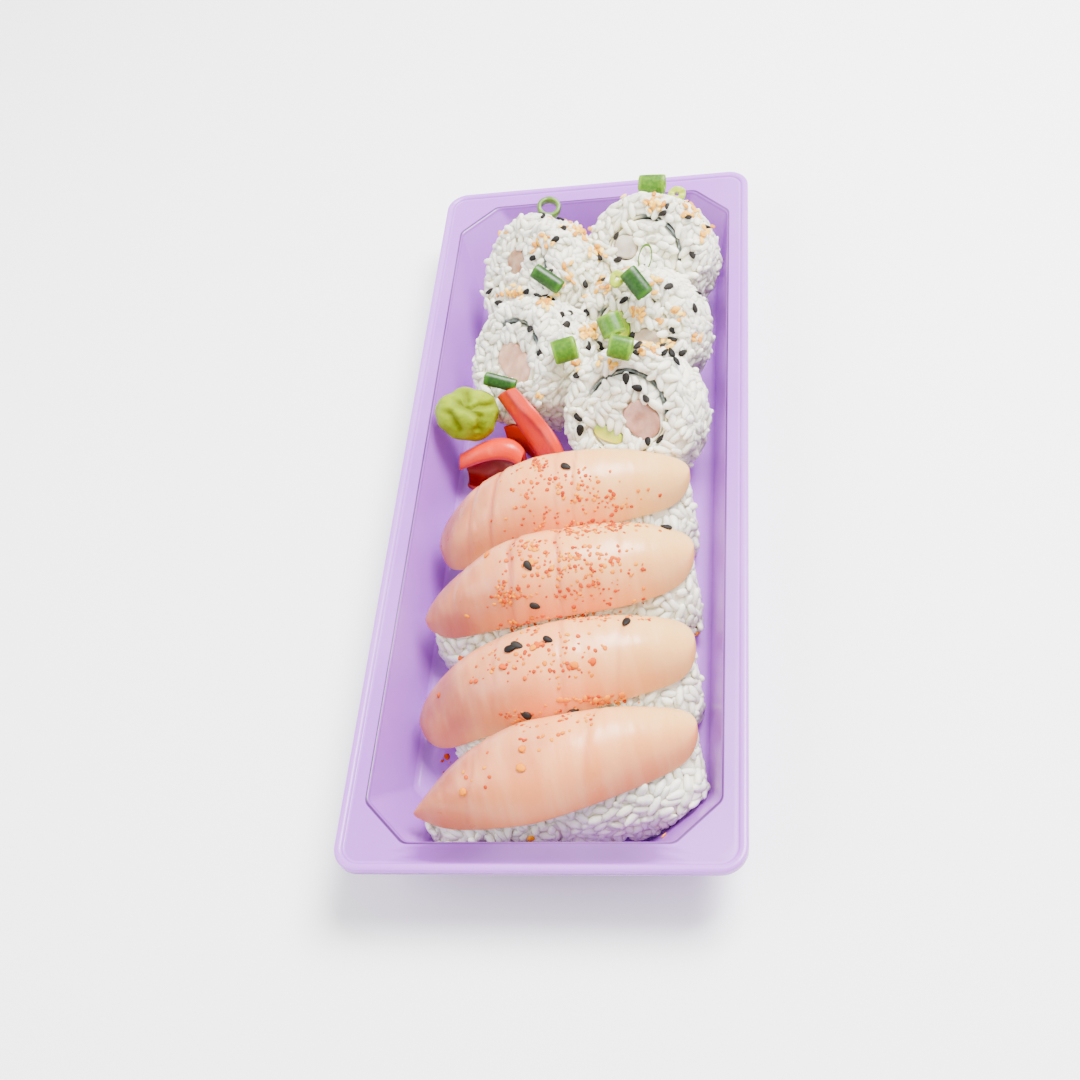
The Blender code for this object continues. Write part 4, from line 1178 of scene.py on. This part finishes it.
def outer_rice_grid(number, columns=150):
    """Closed ring of outer rice: a round-cornered profile carried round the seaweed."""
    radius, thickness = ROLLS[number][4:6]
    half = thickness / 2
    inner = NORI_RADIUS + 0.3 * MM
    corner = np.linspace(0, math.pi / 2, 7)
    edge, flat = radius - ROLL_EDGE, half - ROLL_EDGE
    lower = np.stack([edge + ROLL_EDGE * np.sin(corner), -flat - ROLL_EDGE * np.cos(corner)], 1)
    side = np.stack([np.full(10, radius), np.linspace(-flat, flat, 12)[1:-1]], 1)
    upper = np.stack([edge + ROLL_EDGE * np.cos(corner), flat + ROLL_EDGE * np.sin(corner)], 1)
    face = np.stack([np.linspace(edge, inner + 0.4 * MM, 8)[1:], np.full(7, half)], 1)
    inside = np.array(((inner, half - 0.5 * MM), (inner, 0), (inner, -half)))
    base = np.array((((radius + inner) / 2, -half),))
    profile = np.vstack([lower, side, upper, face, inside, base])
    angle = full_turn(columns)[:, None]
    reach, height = profile.T[:, None]
    share = np.clip((reach - inner) / (radius - inner), 0, 1)
    points = carried_round(reach - radius * roll_squeeze(angle, number) * share, angle, height)
    outward = carried_round(share, angle, 0.6 * np.sign(height) * (np.abs(height) > 0.9 * half))
    swell = 0.4 * MM * smooth_noise(points, 3.2 * MM, 10 + number)
    swell += 0.8 * MM * smooth_noise(points, 9 * MM, 60 + number)
    return points + outward * swell[..., None] * (share[..., None] > 0.02)


def clear_of_rolls(number, points, margin):
    """Whether points of one roll keep out of every other roll's cylinder."""
    clear = np.ones(points.shape[:-1], bool)
    for other, row in enumerate(ROLLS):
        if other != number:
            middle, axes = roll_place(other)
            local = (points - middle) @ axes.T
            reach = np.linalg.norm(local[..., :2], axis=-1)
            clear &= (reach > row[4] + margin) | (np.abs(local[..., 2]) > row[5] / 2 + margin)
    return clear


def push_clear(number, points, gap):
    """Moves points that lie in a neighbour's cylinder out to its nearer wall."""
    moved = points.copy()
    for other in range(len(ROLLS)):
        if other == number:
            continue
        middle, axes = roll_place(other)
        radius, thickness = ROLLS[other][4:6]
        local = (moved - middle) @ axes.T
        reach = np.linalg.norm(local[..., :2], axis=-1)
        radial = radius + gap - reach
        axial = thickness / 2 + gap - np.abs(local[..., 2])
        inside = (radial > 0) & (axial > 0) & (other < number)
        sideways = inside & (radial <= axial)
        endways = inside & (radial > axial)
        scale = np.where(sideways, (radius + gap) / np.maximum(reach, 1e-6), 1)
        local[..., :2] *= scale[..., None]
        lift = np.sign(local[..., 2]) * (thickness / 2 + gap)
        local[..., 2] = np.where(endways, lift, local[..., 2])
        moved = local @ axes + middle
    return moved


def in_strip(shape, flat, grow):
    """How deep flat points lie in a filling's ellipse: below 1 inside it."""
    middle_x, middle_y, half_a, half_b, turn = shape
    along, aside = turned(flat[..., 0] - middle_x, flat[..., 1] - middle_y, -turn)
    return np.hypot(along / (half_a + grow), aside / (half_b + grow))


def roll_strips(number):
    """Names and shapes of the fillings in a roll."""
    strips = [("fish", FISH_STRIPS[number])]
    if number in AVOCADO_STRIPS:
        strips.append(("avocado", AVOCADO_STRIPS[number]))
    return strips


def from_bare_middle(number, angle):
    """Degrees from an angle to the middle of the stretch where a roll's seaweed shows."""
    return np.abs((np.degrees(angle) - NORI_SHOWN[number][0] + 180) % 360 - 180)


def seaweed_bare(number, flat):
    """Whether flat points of a roll lie where its seaweed shows through the rice."""
    angle = np.arctan2(flat[:, 1], flat[:, 0])
    return from_bare_middle(number, angle) < NORI_SHOWN[number][1]


class SUSHI_OT_outer_rice(bpy.types.Operator):
    """Makes the outer rice of the rolls"""

    bl_idname = "sushi.outer_rice"
    bl_label = "Outer rice"

    def execute(self, context):
        material = rice_material()
        for number in range(len(ROLLS)):
            random = np.random.default_rng(OUTER_COVER.seed + number)
            local = outer_rice_grid(number)
            grid = push_clear(number, roll_to_tray(number, local), 0.2 * MM)
            spots, normals = sample_grid(grid, OUTER_COVER.tries, random)
            middle, axes = roll_place(number)
            inside = (spots - middle) @ axes.T
            reach = np.linalg.norm(inside[:, :2], axis=1)
            ring = inside * (1, 1, 0) / reach[:, None] * (NORI_RADIUS + 3 * MM)
            if ((inside - ring) * (normals @ axes.T)).sum() < 0:
                normals = -normals
            gap = np.where(seaweed_bare(number, inside), 1.2, 0.2) * MM
            shown = reach > NORI_RADIUS + gap
            shown &= clear_of_rolls(number, spots, 0.5 * MM)
            shown &= spots[:, 2] > 2.4 * MM
            rice_piece(f"roll_outer_rice_{number + 1}", f"roll_rice_{number + 1}",
                       (grid, ring_quads(*grid.shape[:2])), OUTER_COVER, spots[shown],
                       normals[shown], random, material)
        return {"FINISHED"}


class SUSHI_OT_inner_rice(bpy.types.Operator):
    """Makes the rice inside the seaweed"""

    bl_idname = "sushi.inner_rice"
    bl_label = "Inner rice"
    # First row of the drum from which grains lie on it
    face_row = 6

    def execute(self, context):
        material = rice_material()
        for number in range(len(ROLLS)):
            random = np.random.default_rng(INNER_COVER.seed + number)
            grid = self.core_grid(number)
            spots, _ = sample_grid(grid[self.face_row:], INNER_COVER.tries, random)
            reach = np.linalg.norm(spots[:, :2], axis=1)
            gap = np.where(seaweed_bare(number, spots), 2.1, 0.9) * MM
            shown = (reach < NORI_RADIUS - gap) & (spots[:, 2] > 0.7 * ROLLS[number][5] / 2)
            for _, shape in roll_strips(number):
                shown &= in_strip(shape, spots, 1.3 * MM) > 1
            upward = np.broadcast_to((0.0, 0.0, 1.0), spots.shape)
            rice_piece(f"roll_inner_rice_{number + 1}", f"roll_core_{number + 1}",
                       (grid, grid_quads(*grid.shape[:2])), INNER_COVER, spots[shown],
                       upward[shown], random, material, number)
        return {"FINISHED"}

    def core_grid(self, number):
        """A drum from the middle of its lower face round to the middle of its upper one."""
        half = ROLLS[number][5] / 2
        radius = NORI_RADIUS - NORI_THICKNESS - 0.3 * MM
        corner = np.linspace(0, math.pi / 2, 5)
        upper = np.stack([radius - MM + MM * np.cos(corner), half - MM + MM * np.sin(corner)], 1)
        face = np.stack([np.linspace(radius - MM, 0, 24)[1:], np.full(23, half)], 1)
        low = np.array(((0, -half), (0.5 * radius, -half), (radius, -half), (radius, 0)))
        profile = np.vstack([low, upper, face])
        points = carried_round(profile[:, :1], full_turn(90), profile[:, 1:])
        top = points[..., 2] > 0.9 * half
        points[..., 2] += top * 0.4 * MM * smooth_noise(points, 2.4 * MM, 30 + number)
        for _, shape in roll_strips(number):
            depth = in_strip(shape, points, 0.3 * MM)
            points[..., 2] -= top * 3 * MM * (1 - smooth_step(0.85, 1.05, depth))
        return points


class SUSHI_OT_seaweed(bpy.types.Operator):
    """Makes the seaweed rings of the rolls"""

    bl_idname = "sushi.seaweed"
    bl_label = "Seaweed"

    def execute(self, context):
        material = nori_material()
        for number in range(len(ROLLS)):
            points, covered = self.ring_grid(number)
            surface_piece(f"roll_seaweed_{number + 1}", points, ring_quads(*covered.shape),
                          material, "nori", f"roll_nori_{number + 1}", covered=covered)
        return {"FINISHED"}

    def ring_grid(self, number):
        """A thin wall carried round, whose wavy crest is lower where rice covers it."""
        angle = full_turn(160)
        around = carried_round(1, angle, 0)
        wave = 0.35 * MM * smooth_noise(around, 0.25, number)
        crest = 0.35 * MM * np.sin(5 * angle + number) + wave
        away = from_bare_middle(number, angle) + 25 * smooth_noise(around, 0.22, number + 30)
        spread = NORI_SHOWN[number][1]
        covered = smooth_step(spread - 8, spread + 8, away)[:, None]
        crest = 0.6 * crest[:, None] - 0.5 * MM * covered
        aside, upward = np.array(SEAWEED_PROFILE).T
        bulge = 0.3 * MM * smooth_noise(around, 0.3, number + 9)[:, None]
        reach = NORI_RADIUS - aside * NORI_THICKNESS + bulge
        height = upward * (ROLLS[number][5] / 2) + (upward > 0) * crest
        points = carried_round(reach, angle[:, None], height)
        return roll_to_tray(number, points), np.broadcast_to(covered, height.shape)


class SUSHI_OT_fillings(bpy.types.Operator):
    """Makes the strips of fish and avocado in the rolls"""

    bl_idname = "sushi.fillings"
    bl_label = "Fillings"

    def execute(self, context):
        avocado = avocado_material()
        for number in range(len(ROLLS)):
            fish = filling_fish_material(number)
            for kind, shape in roll_strips(number):
                points, side = self.strip_grid(number, shape)
                surface_piece(f"roll_filling_{kind}_{number + 1}", points,
                              grid_quads(*side.shape), fish if kind == "fish" else avocado,
                              kind, f"roll_{kind}_{number + 1}", side=side)
        return {"FINISHED"}

    def strip_grid(self, number, shape):
        """An uneven oval drum: its wall, a rounded edge and a slightly wavy cut face."""
        middle_x, middle_y, half_a, half_b, turn = shape
        half = ROLLS[number][5] / 2
        corner = np.linspace(0, math.pi / 2, 6)
        wall = np.array(((0.0, -half), (1.0, -half), (1.0, 0.0)))
        edge = np.stack([0.86 + 0.14 * np.cos(corner), half - 0.6 * MM * (1 - np.sin(corner))], 1)
        face = np.stack([np.linspace(0.86, 0, 10)[1:], np.full(9, half)], 1)
        profile = np.vstack([wall, edge, face])
        angle = full_turn(60)
        uneven = 1 + 0.08 * smooth_noise(carried_round(1, angle, 0), 0.7, number + 4)
        wide, high = squared(angle, FILLING_ROUNDNESS)
        x = profile[:, :1] * (half_a * uneven * wide)
        y = profile[:, :1] * (half_b * uneven * high)
        along, aside = turned(x, y, turn)
        local = np.stack(np.broadcast_arrays(middle_x + along, middle_y + aside,
                                             profile[:, 1:]), -1)
        top = local[..., 2] > 0.9 * half
        local[..., 2] += top * (0.3 * MM * smooth_noise(local, 3 * MM, number + 70) + 0.2 * MM)
        return roll_to_tray(number, local), y / half_b


# Garnish


def line_distance(points, line):
    """Distance of flat points from the nearest part of a bent line."""
    nearest = np.full(points.shape[:-1], np.inf)
    for start, end in zip(line, line[1:]):
        step = end - start
        share = np.clip((points - start) @ step / (step @ step), 0, 1)
        off = points - start - share[..., None] * step
        nearest = np.minimum(nearest, np.linalg.norm(off, axis=-1))
    return nearest


def ball_grid(rows, columns):
    """Directions on a ball from its lower to its upper pole."""
    rise = np.linspace(-math.pi / 2, math.pi / 2, rows)[:, None]
    return carried_round(np.cos(rise), full_turn(columns), np.sin(rise))


class SUSHI_OT_wasabi(bpy.types.Operator):
    """Makes the pinched lump of wasabi"""

    bl_idname = "sushi.wasabi"
    bl_label = "Wasabi"

    def execute(self, context):
        way = ball_grid(130, 180)
        right, up, back = (np.array(axis) for axis in camera_axes())
        flat = np.stack([way @ right, way @ up], -1)
        # The creases dent the lump and carry painted shade
        crease = np.zeros(way.shape[:2])
        for line in WASABI_CREASES:
            dip = np.exp(-(line_distance(flat, np.array(line)) / 0.14) ** 2)
            crease = np.maximum(crease, dip * smooth_step(0.0, 0.4, way @ back))
        fold = 1 + 0.09 * smooth_noise(way, 0.55, 3) + 0.03 * smooth_noise(way, 0.2, 4)
        points = WASABI_MIDDLE + way * (fold - 0.15 * crease)[..., None] * WASABI_SIZE
        surface_piece("wasabi_lump", points, grid_quads(*way.shape[:2]), wasabi_material(),
                      "wasabi", "wasabi", crease=crease)
        return {"FINISHED"}


class SUSHI_OT_ginger(bpy.types.Operator):
    """Makes the folded slices of pickled ginger"""

    bl_idname = "sushi.ginger"
    bl_label = "Pickled ginger"

    def execute(self, context):
        material = ginger_material()
        for number, rows in enumerate(GINGER):
            points, fold = self.slice_grid(number, np.array(rows))
            mesh = build_mesh(f"ginger_slice_{number + 1}", points.reshape(-1, 3),
                              grid_quads(*fold.shape, wrap=False))
            add_values(mesh, "fold", fold)
            piece = add_piece(mesh, material, f"ginger_{number + 1}")
            sheet = piece.modifiers.new("thickness", "SOLIDIFY")
            sheet.thickness = RIBBON_THICKNESS
            sheet.offset = 0
        return {"FINISHED"}

    def slice_grid(self, number, rows):
        """A sheet through the rows of points: a polynomial along it and one across it."""
        run, share = np.linspace(0, 1, 60), np.linspace(0, 1, 36)
        along = self.through(rows, run)
        points = self.through(along.transpose(1, 0, 2), share).transpose(1, 0, 2) * MM
        ridges = np.sin(share * 16 + 2 * smooth_noise(points, 6 * MM, number + 5))
        lift = 0.4 * smooth_noise(points, 4.2 * MM, number) + 0.09 * ridges
        points = points + lift[..., None] * MM * np.array((0.3, -0.6, 0.7))
        tones = GINGER_TONES[number]
        fold = np.interp(share, np.linspace(0, 1, len(tones)), tones)
        return points, np.broadcast_to(fold, points.shape[:2])

    def through(self, stops, run):
        """Polynomials through stops in even steps, at shares of the way along them."""
        at = np.linspace(0, 1, len(stops))
        flat = np.polyfit(at, stops.reshape(len(stops), -1), len(stops) - 1)
        values = sum(np.outer(run ** power, term) for power, term in enumerate(flat[::-1]))
        return values.reshape(len(run), *stops.shape[1:])


class SUSHI_OT_onion(bpy.types.Operator):
    """Makes the cut rings of spring onion"""

    bl_idname = "sushi.onion"
    bl_label = "Spring onion"

    def execute(self, context):
        materials = {tone: onion_material(tone) for tone in ONION_TONES}
        for number, row in enumerate(ONIONS):
            name, tone = row[:2]
            points, inner = self.ring_grid(number, *row[2:])
            surface_piece(f"spring_{name}", points, ring_quads(*inner.shape), materials[tone],
                          "onion", f"onion_{name}", inner=inner)
        return {"FINISHED"}

    def ring_grid(self, number, middle, radius, wall, length, squash, turns):
        """A round-cornered wall section carried round an oval, its cut ends a little wavy."""
        around = full_turn(72)
        circle = carried_round(1, around, 0)
        aside, upward = squared(full_turn(20), 0.35)
        uneven = 0.07 * smooth_noise(circle, 0.8, number + 3)[:, None]
        reach = radius * (1 + uneven) - wall / 2 + aside * wall / 2
        wave = 0.25 * smooth_noise(circle, 0.6, number + 13)[:, None]
        height = upward * (length / 2 + wave * np.sign(upward))
        points = carried_round(reach, around[:, None], height) * (1, squash, 1)
        placed = (points @ np.array(euler_axes(turns)).T + np.array(middle)) * MM
        inner = np.maximum(np.clip(0.5 - 0.5 * aside, 0, 1), 0.5 * (np.abs(upward) > 0.8))
        return placed, np.broadcast_to(inner, reach.shape)


def euler_axes(turns):
    """Rotation matrix of turns in degrees about X, then Y, then Z."""
    spin = Matrix.Identity(3)
    for axis, turn in zip("XYZ", turns):
        spin = Matrix.Rotation(math.radians(turn), 3, axis) @ spin
    return spin


# Seeds and flakes


def camera_axes():
    """The camera's right, up and backward directions in the frame's axes."""
    azimuth, down = CAMERA_AZIMUTH, CAMERA_DOWN
    ahead = Vector((math.sin(azimuth) * math.cos(down), math.cos(azimuth) * math.cos(down),
                    -math.sin(down)))
    right = Vector((math.cos(azimuth), -math.sin(azimuth), 0))
    up = right.cross(ahead)
    cosine, sine = math.cos(CAMERA_ROLL), math.sin(CAMERA_ROLL)
    return cosine * right + sine * up, -sine * right + cosine * up, -ahead


def pixel_direction(x, y):
    """Direction of the view through a pixel of the picture."""
    right, up, back = camera_axes()
    x, y = float(x) - PICTURE / 2, float(y) - PICTURE / 2
    return (x * right - y * up - FOCAL_PIXELS * back).normalized()


def surface_tree(names):
    """Ray-casting tree over the meshes of several pieces."""
    points, faces, start = [], [], 0
    for name in names:
        mesh = bpy.data.objects[name].data
        mesh.calc_loop_triangles()
        flat = np.zeros(len(mesh.vertices) * 3, np.float32)
        mesh.vertices.foreach_get("co", flat)
        corners = np.zeros(len(mesh.loop_triangles) * 3, np.int32)
        mesh.loop_triangles.foreach_get("vertices", corners)
        points.append(flat.reshape(-1, 3))
        faces.append(corners.reshape(-1, 3) + start)
        start += len(mesh.vertices)
    return BVHTree.FromPolygons(np.vstack(points).tolist(), np.vstack(faces).tolist())


def seen_spots(tree, pixels):
    """Where the view through each pixel meets a surface, and the normal there."""
    spots, normals = [], []
    for x, y in pixels:
        spot, normal, _, _ = tree.ray_cast(CAMERA_PLACE, pixel_direction(x, y))
        if spot is not None:
            spots.append(spot)
            normals.append(normal)
    return np.array(spots), np.array(normals)


def patch_pixels(patches, random):
    """Random pixels in oval patches, denser in their middles."""
    pixels = []
    for x, y, half_x, half_y, count in patches:
        spread = random.normal(0, 0.5, (count, 2)) * (half_x, half_y)
        spread = np.clip(spread, -PATCH_REACH, PATCH_REACH)
        pixels.extend((x + dx, y + dy) for dx, dy in spread)
    return pixels


def smooth_normals(normals, lean):
    """Leans normals towards straight up, so that seeds lie over the grains below them."""
    return unit(normals * (1 - lean) + np.array((0, 0, lean)))


def numbered(name, rows):
    """A name with each row's number after it."""
    return [f"{name}_{number + 1}" for number in range(len(rows))]


def food_names():
    """Names of the pieces of food that seeds and flakes can lie on."""
    return [*numbered("roll_outer_rice", ROLLS), *numbered("roll_inner_rice", ROLLS),
            *numbered("fish_slice", NIGIRI), *numbered("nigiri_rice_grains", NIGIRI)]


def scatter_piece(name, shape, spots, normals, sizes, sink, random, material, tint):
    """Many small things as one piece, each lying on its spot and partly sunk in."""
    axes = lie_on(spots, normals, random, 0.12)
    lifted = spots + axes[:, 2] * (sizes[:, 2:] * (1 - sink))
    mesh = build_mesh(name, *copies(shape, lifted, axes, sizes))
    add_values(mesh, "tint", np.repeat(tint, len(shape[0])))
    weld(mesh, 1e-9)
    return add_piece(mesh, material)


def back_spots(tree, count, random):
    """Spots on the rolls that face away from the camera, found by rays from behind."""
    spots, normals = [], []
    ray = Vector((0.1, -0.8, -0.55)).normalized()
    while len(spots) < count:
        start = Vector((random.uniform(-30, 36) * MM, 0.2, random.uniform(60, 160) * MM))
        spot, normal, _, _ = tree.ray_cast(start, ray)
        if spot is not None and normal.y > 0.1:
            spots.append(spot)
            normals.append(normal)
    return np.array(spots), np.array(normals)


class SUSHI_OT_sesame(bpy.types.Operator):
    """Scatters black and toasted sesame seeds"""

    bl_idname = "sushi.sesame"
    bl_label = "Sesame"

    def execute(self, context):
        random = np.random.default_rng(11)
        length = context.scene.sushi_garnish.seed_length
        tree = surface_tree(food_names())
        rolls = surface_tree(numbered("roll_outer_rice", ROLLS))
        back = back_spots(rolls, context.scene.sushi_garnish.back_seeds, random)
        black = seen_spots(tree, BLACK_SEEDS)
        toasted = seen_spots(tree, patch_pixels(TOASTED_PATCHES, random))
        half = len(back[0]) // 3
        black = [np.vstack([seen, rest[:half]]) for seen, rest in zip(black, back)]
        toasted = [np.vstack([seen, rest[half:]]) for seen, rest in zip(toasted, back)]
        groups = (
            ("black_sesame", black, speckled_material("black_sesame", *BLACK_SESAME, 0.6), 1.0),
            ("toasted_sesame", toasted,
             speckled_material("toasted_sesame", *TOASTED_SESAME, 0.42), 0.72),
        )
        for name, (spots, normals), material, scale in groups:
            size = scale * random.uniform(0.86, 1.1, (len(spots), 1))
            sizes = size * np.array(SEED_SHARES) * length
            scatter_piece(name, egg_shape(6, 10, 0.3), spots, smooth_normals(normals, 0.4), sizes,
                          0.25, random, material, random.random(len(spots)))
        return {"FINISHED"}


class SUSHI_OT_chilli(bpy.types.Operator):
    """Scatters chilli specks and flakes over the fish"""

    bl_idname = "sushi.chilli"
    bl_label = "Chilli"

    def execute(self, context):
        random = np.random.default_rng(12)
        width = context.scene.sushi_garnish.flake_size
        tree = surface_tree([*food_names(), "tray_sheet"])
        material = speckled_material("chilli", *CHILLI, 0.8)
        groups = (
            ("chilli_flakes", LARGE_FLAKES, (0.9, 1.25), 0.35),
            ("chilli_specks", patch_pixels(CHILLI_PATCHES, random), (0.4, 0.8), 0.1),
        )
        for name, pixels, (low, high), warmest in groups:
            spots, normals = seen_spots(tree, pixels)
            size = random.uniform(low, high, (len(spots), 1)) ** 1.3
            sizes = size * random.uniform(0.7, 1.1, (len(spots), 3))
            sizes = sizes * np.array(FLAKE_SHARES) * width
            tint = np.clip(random.random(len(spots)) + warmest, 0, 1)
            scatter_piece(name, egg_shape(3, 6, 0.2), spots, normals, sizes, 0.35, random, material,
                          tint)
        return {"FINISHED"}


# Stage


class SUSHI_OT_stage(bpy.types.Operator):
    """Adds the floor, lights and camera"""

    bl_idname = "sushi.stage"
    bl_label = "Stage"

    def execute(self, context):
        power = context.scene.sushi_stage.key_power
        self.add_floor(context)
        self.add_light(context, "key", *KEY_LIGHT, power)
        self.add_light(context, "fill", *FILL_LIGHT, FILL_SHARE * power)
        self.add_world(context)
        self.add_camera(context)
        return {"FINISHED"}

    def add_floor(self, context):
        """A wide pale floor, level with the tray's underside."""
        points = np.array(((-1, -1, 0), (1, -1, 0), (1, 1, 0), (-1, 1, 0))) * FLOOR_REACH
        mesh = build_mesh("floor", points, np.array(((0, 1, 2, 3),)))
        made = Finish("floor", Roughness=0.75)
        shade = made.noise(0.5, 2.0)
        pale = made.blend(made.between(shade, 0.3, 0.7, 0.0, 0.04),
                          context.scene.sushi_stage.floor[:], linear(*FLOOR_SHADE))
        mesh.materials.append(made.finish(Base_Color=pale))
        floor = bpy.data.objects.new("floor", mesh)
        context.scene.collection.objects.link(floor)

    def add_light(self, context, name, place, size, power):
        """A square soft light aimed at the middle of the tray."""
        lamp = bpy.data.lights.new(name, "AREA")
        lamp.size = size
        lamp.energy = power
        light = bpy.data.objects.new(name, lamp)
        light.location = place
        light.rotation_euler = (-Vector(place)).to_track_quat("-Z", "Y").to_euler()
        context.scene.collection.objects.link(light)

    def add_world(self, context):
        """Even pale light from all round."""
        world = bpy.data.worlds.new("studio")
        world.use_nodes = True
        background = world.node_tree.nodes["Background"]
        background.inputs["Color"].default_value = (1.0, 1.0, 1.0, 1.0)
        background.inputs["Strength"].default_value = context.scene.sushi_stage.world
        context.scene.world = world

    def add_camera(self, context):
        """The camera at the picture's place and angle."""
        lens = bpy.data.cameras.new("camera")
        lens.sensor_width = SENSOR
        lens.lens = FOCAL_PIXELS * SENSOR / PICTURE
        lens.clip_start = 0.01
        camera = bpy.data.objects.new("camera", lens)
        axes = Matrix(camera_axes()).transposed().to_4x4()
        camera.matrix_world = Matrix.Translation(CAMERA_PLACE) @ axes
        context.scene.collection.objects.link(camera)
        context.scene.camera = camera


OPERATORS = (SUSHI_OT_tray, SUSHI_OT_nigiri_rice, SUSHI_OT_fish, SUSHI_OT_outer_rice,
             SUSHI_OT_inner_rice, SUSHI_OT_seaweed, SUSHI_OT_fillings, SUSHI_OT_wasabi,
             SUSHI_OT_ginger, SUSHI_OT_onion, SUSHI_OT_sesame, SUSHI_OT_chilli, SUSHI_OT_stage)


class SUSHI_PT_panel(bpy.types.Panel):
    """Settings and steps for the sushi tray"""

    bl_idname = "SUSHI_PT_panel"
    bl_label = "Sushi tray"
    bl_space_type = "VIEW_3D"
    bl_region_type = "UI"
    bl_category = "Sushi tray"

    def draw(self, context):
        for group_name, group in SETTINGS.items():
            box = self.layout.box()
            for setting in group.__annotations__:
                box.prop(getattr(context.scene, group_name), setting)
        for operator in OPERATORS:
            self.layout.operator(operator.bl_idname)


CLASSES = (*SETTINGS.values(), *OPERATORS, SUSHI_PT_panel)


def register():
    """Registers the classes and puts their settings on the scene."""
    for made in CLASSES:
        bpy.utils.register_class(made)
    for name, group in SETTINGS.items():
        setattr(bpy.types.Scene, name, PointerProperty(type=group))


def unregister():
    """Takes the settings and classes away again."""
    for name in SETTINGS:
        delattr(bpy.types.Scene, name)
    for made in reversed(CLASSES):
        bpy.utils.unregister_class(made)


def main():
    """Builds every piece in order."""
    register()
    for operator in OPERATORS:
        getattr(bpy.ops.sushi, operator.bl_idname.split(".")[1])()


if __name__ == "__main__":
    main()
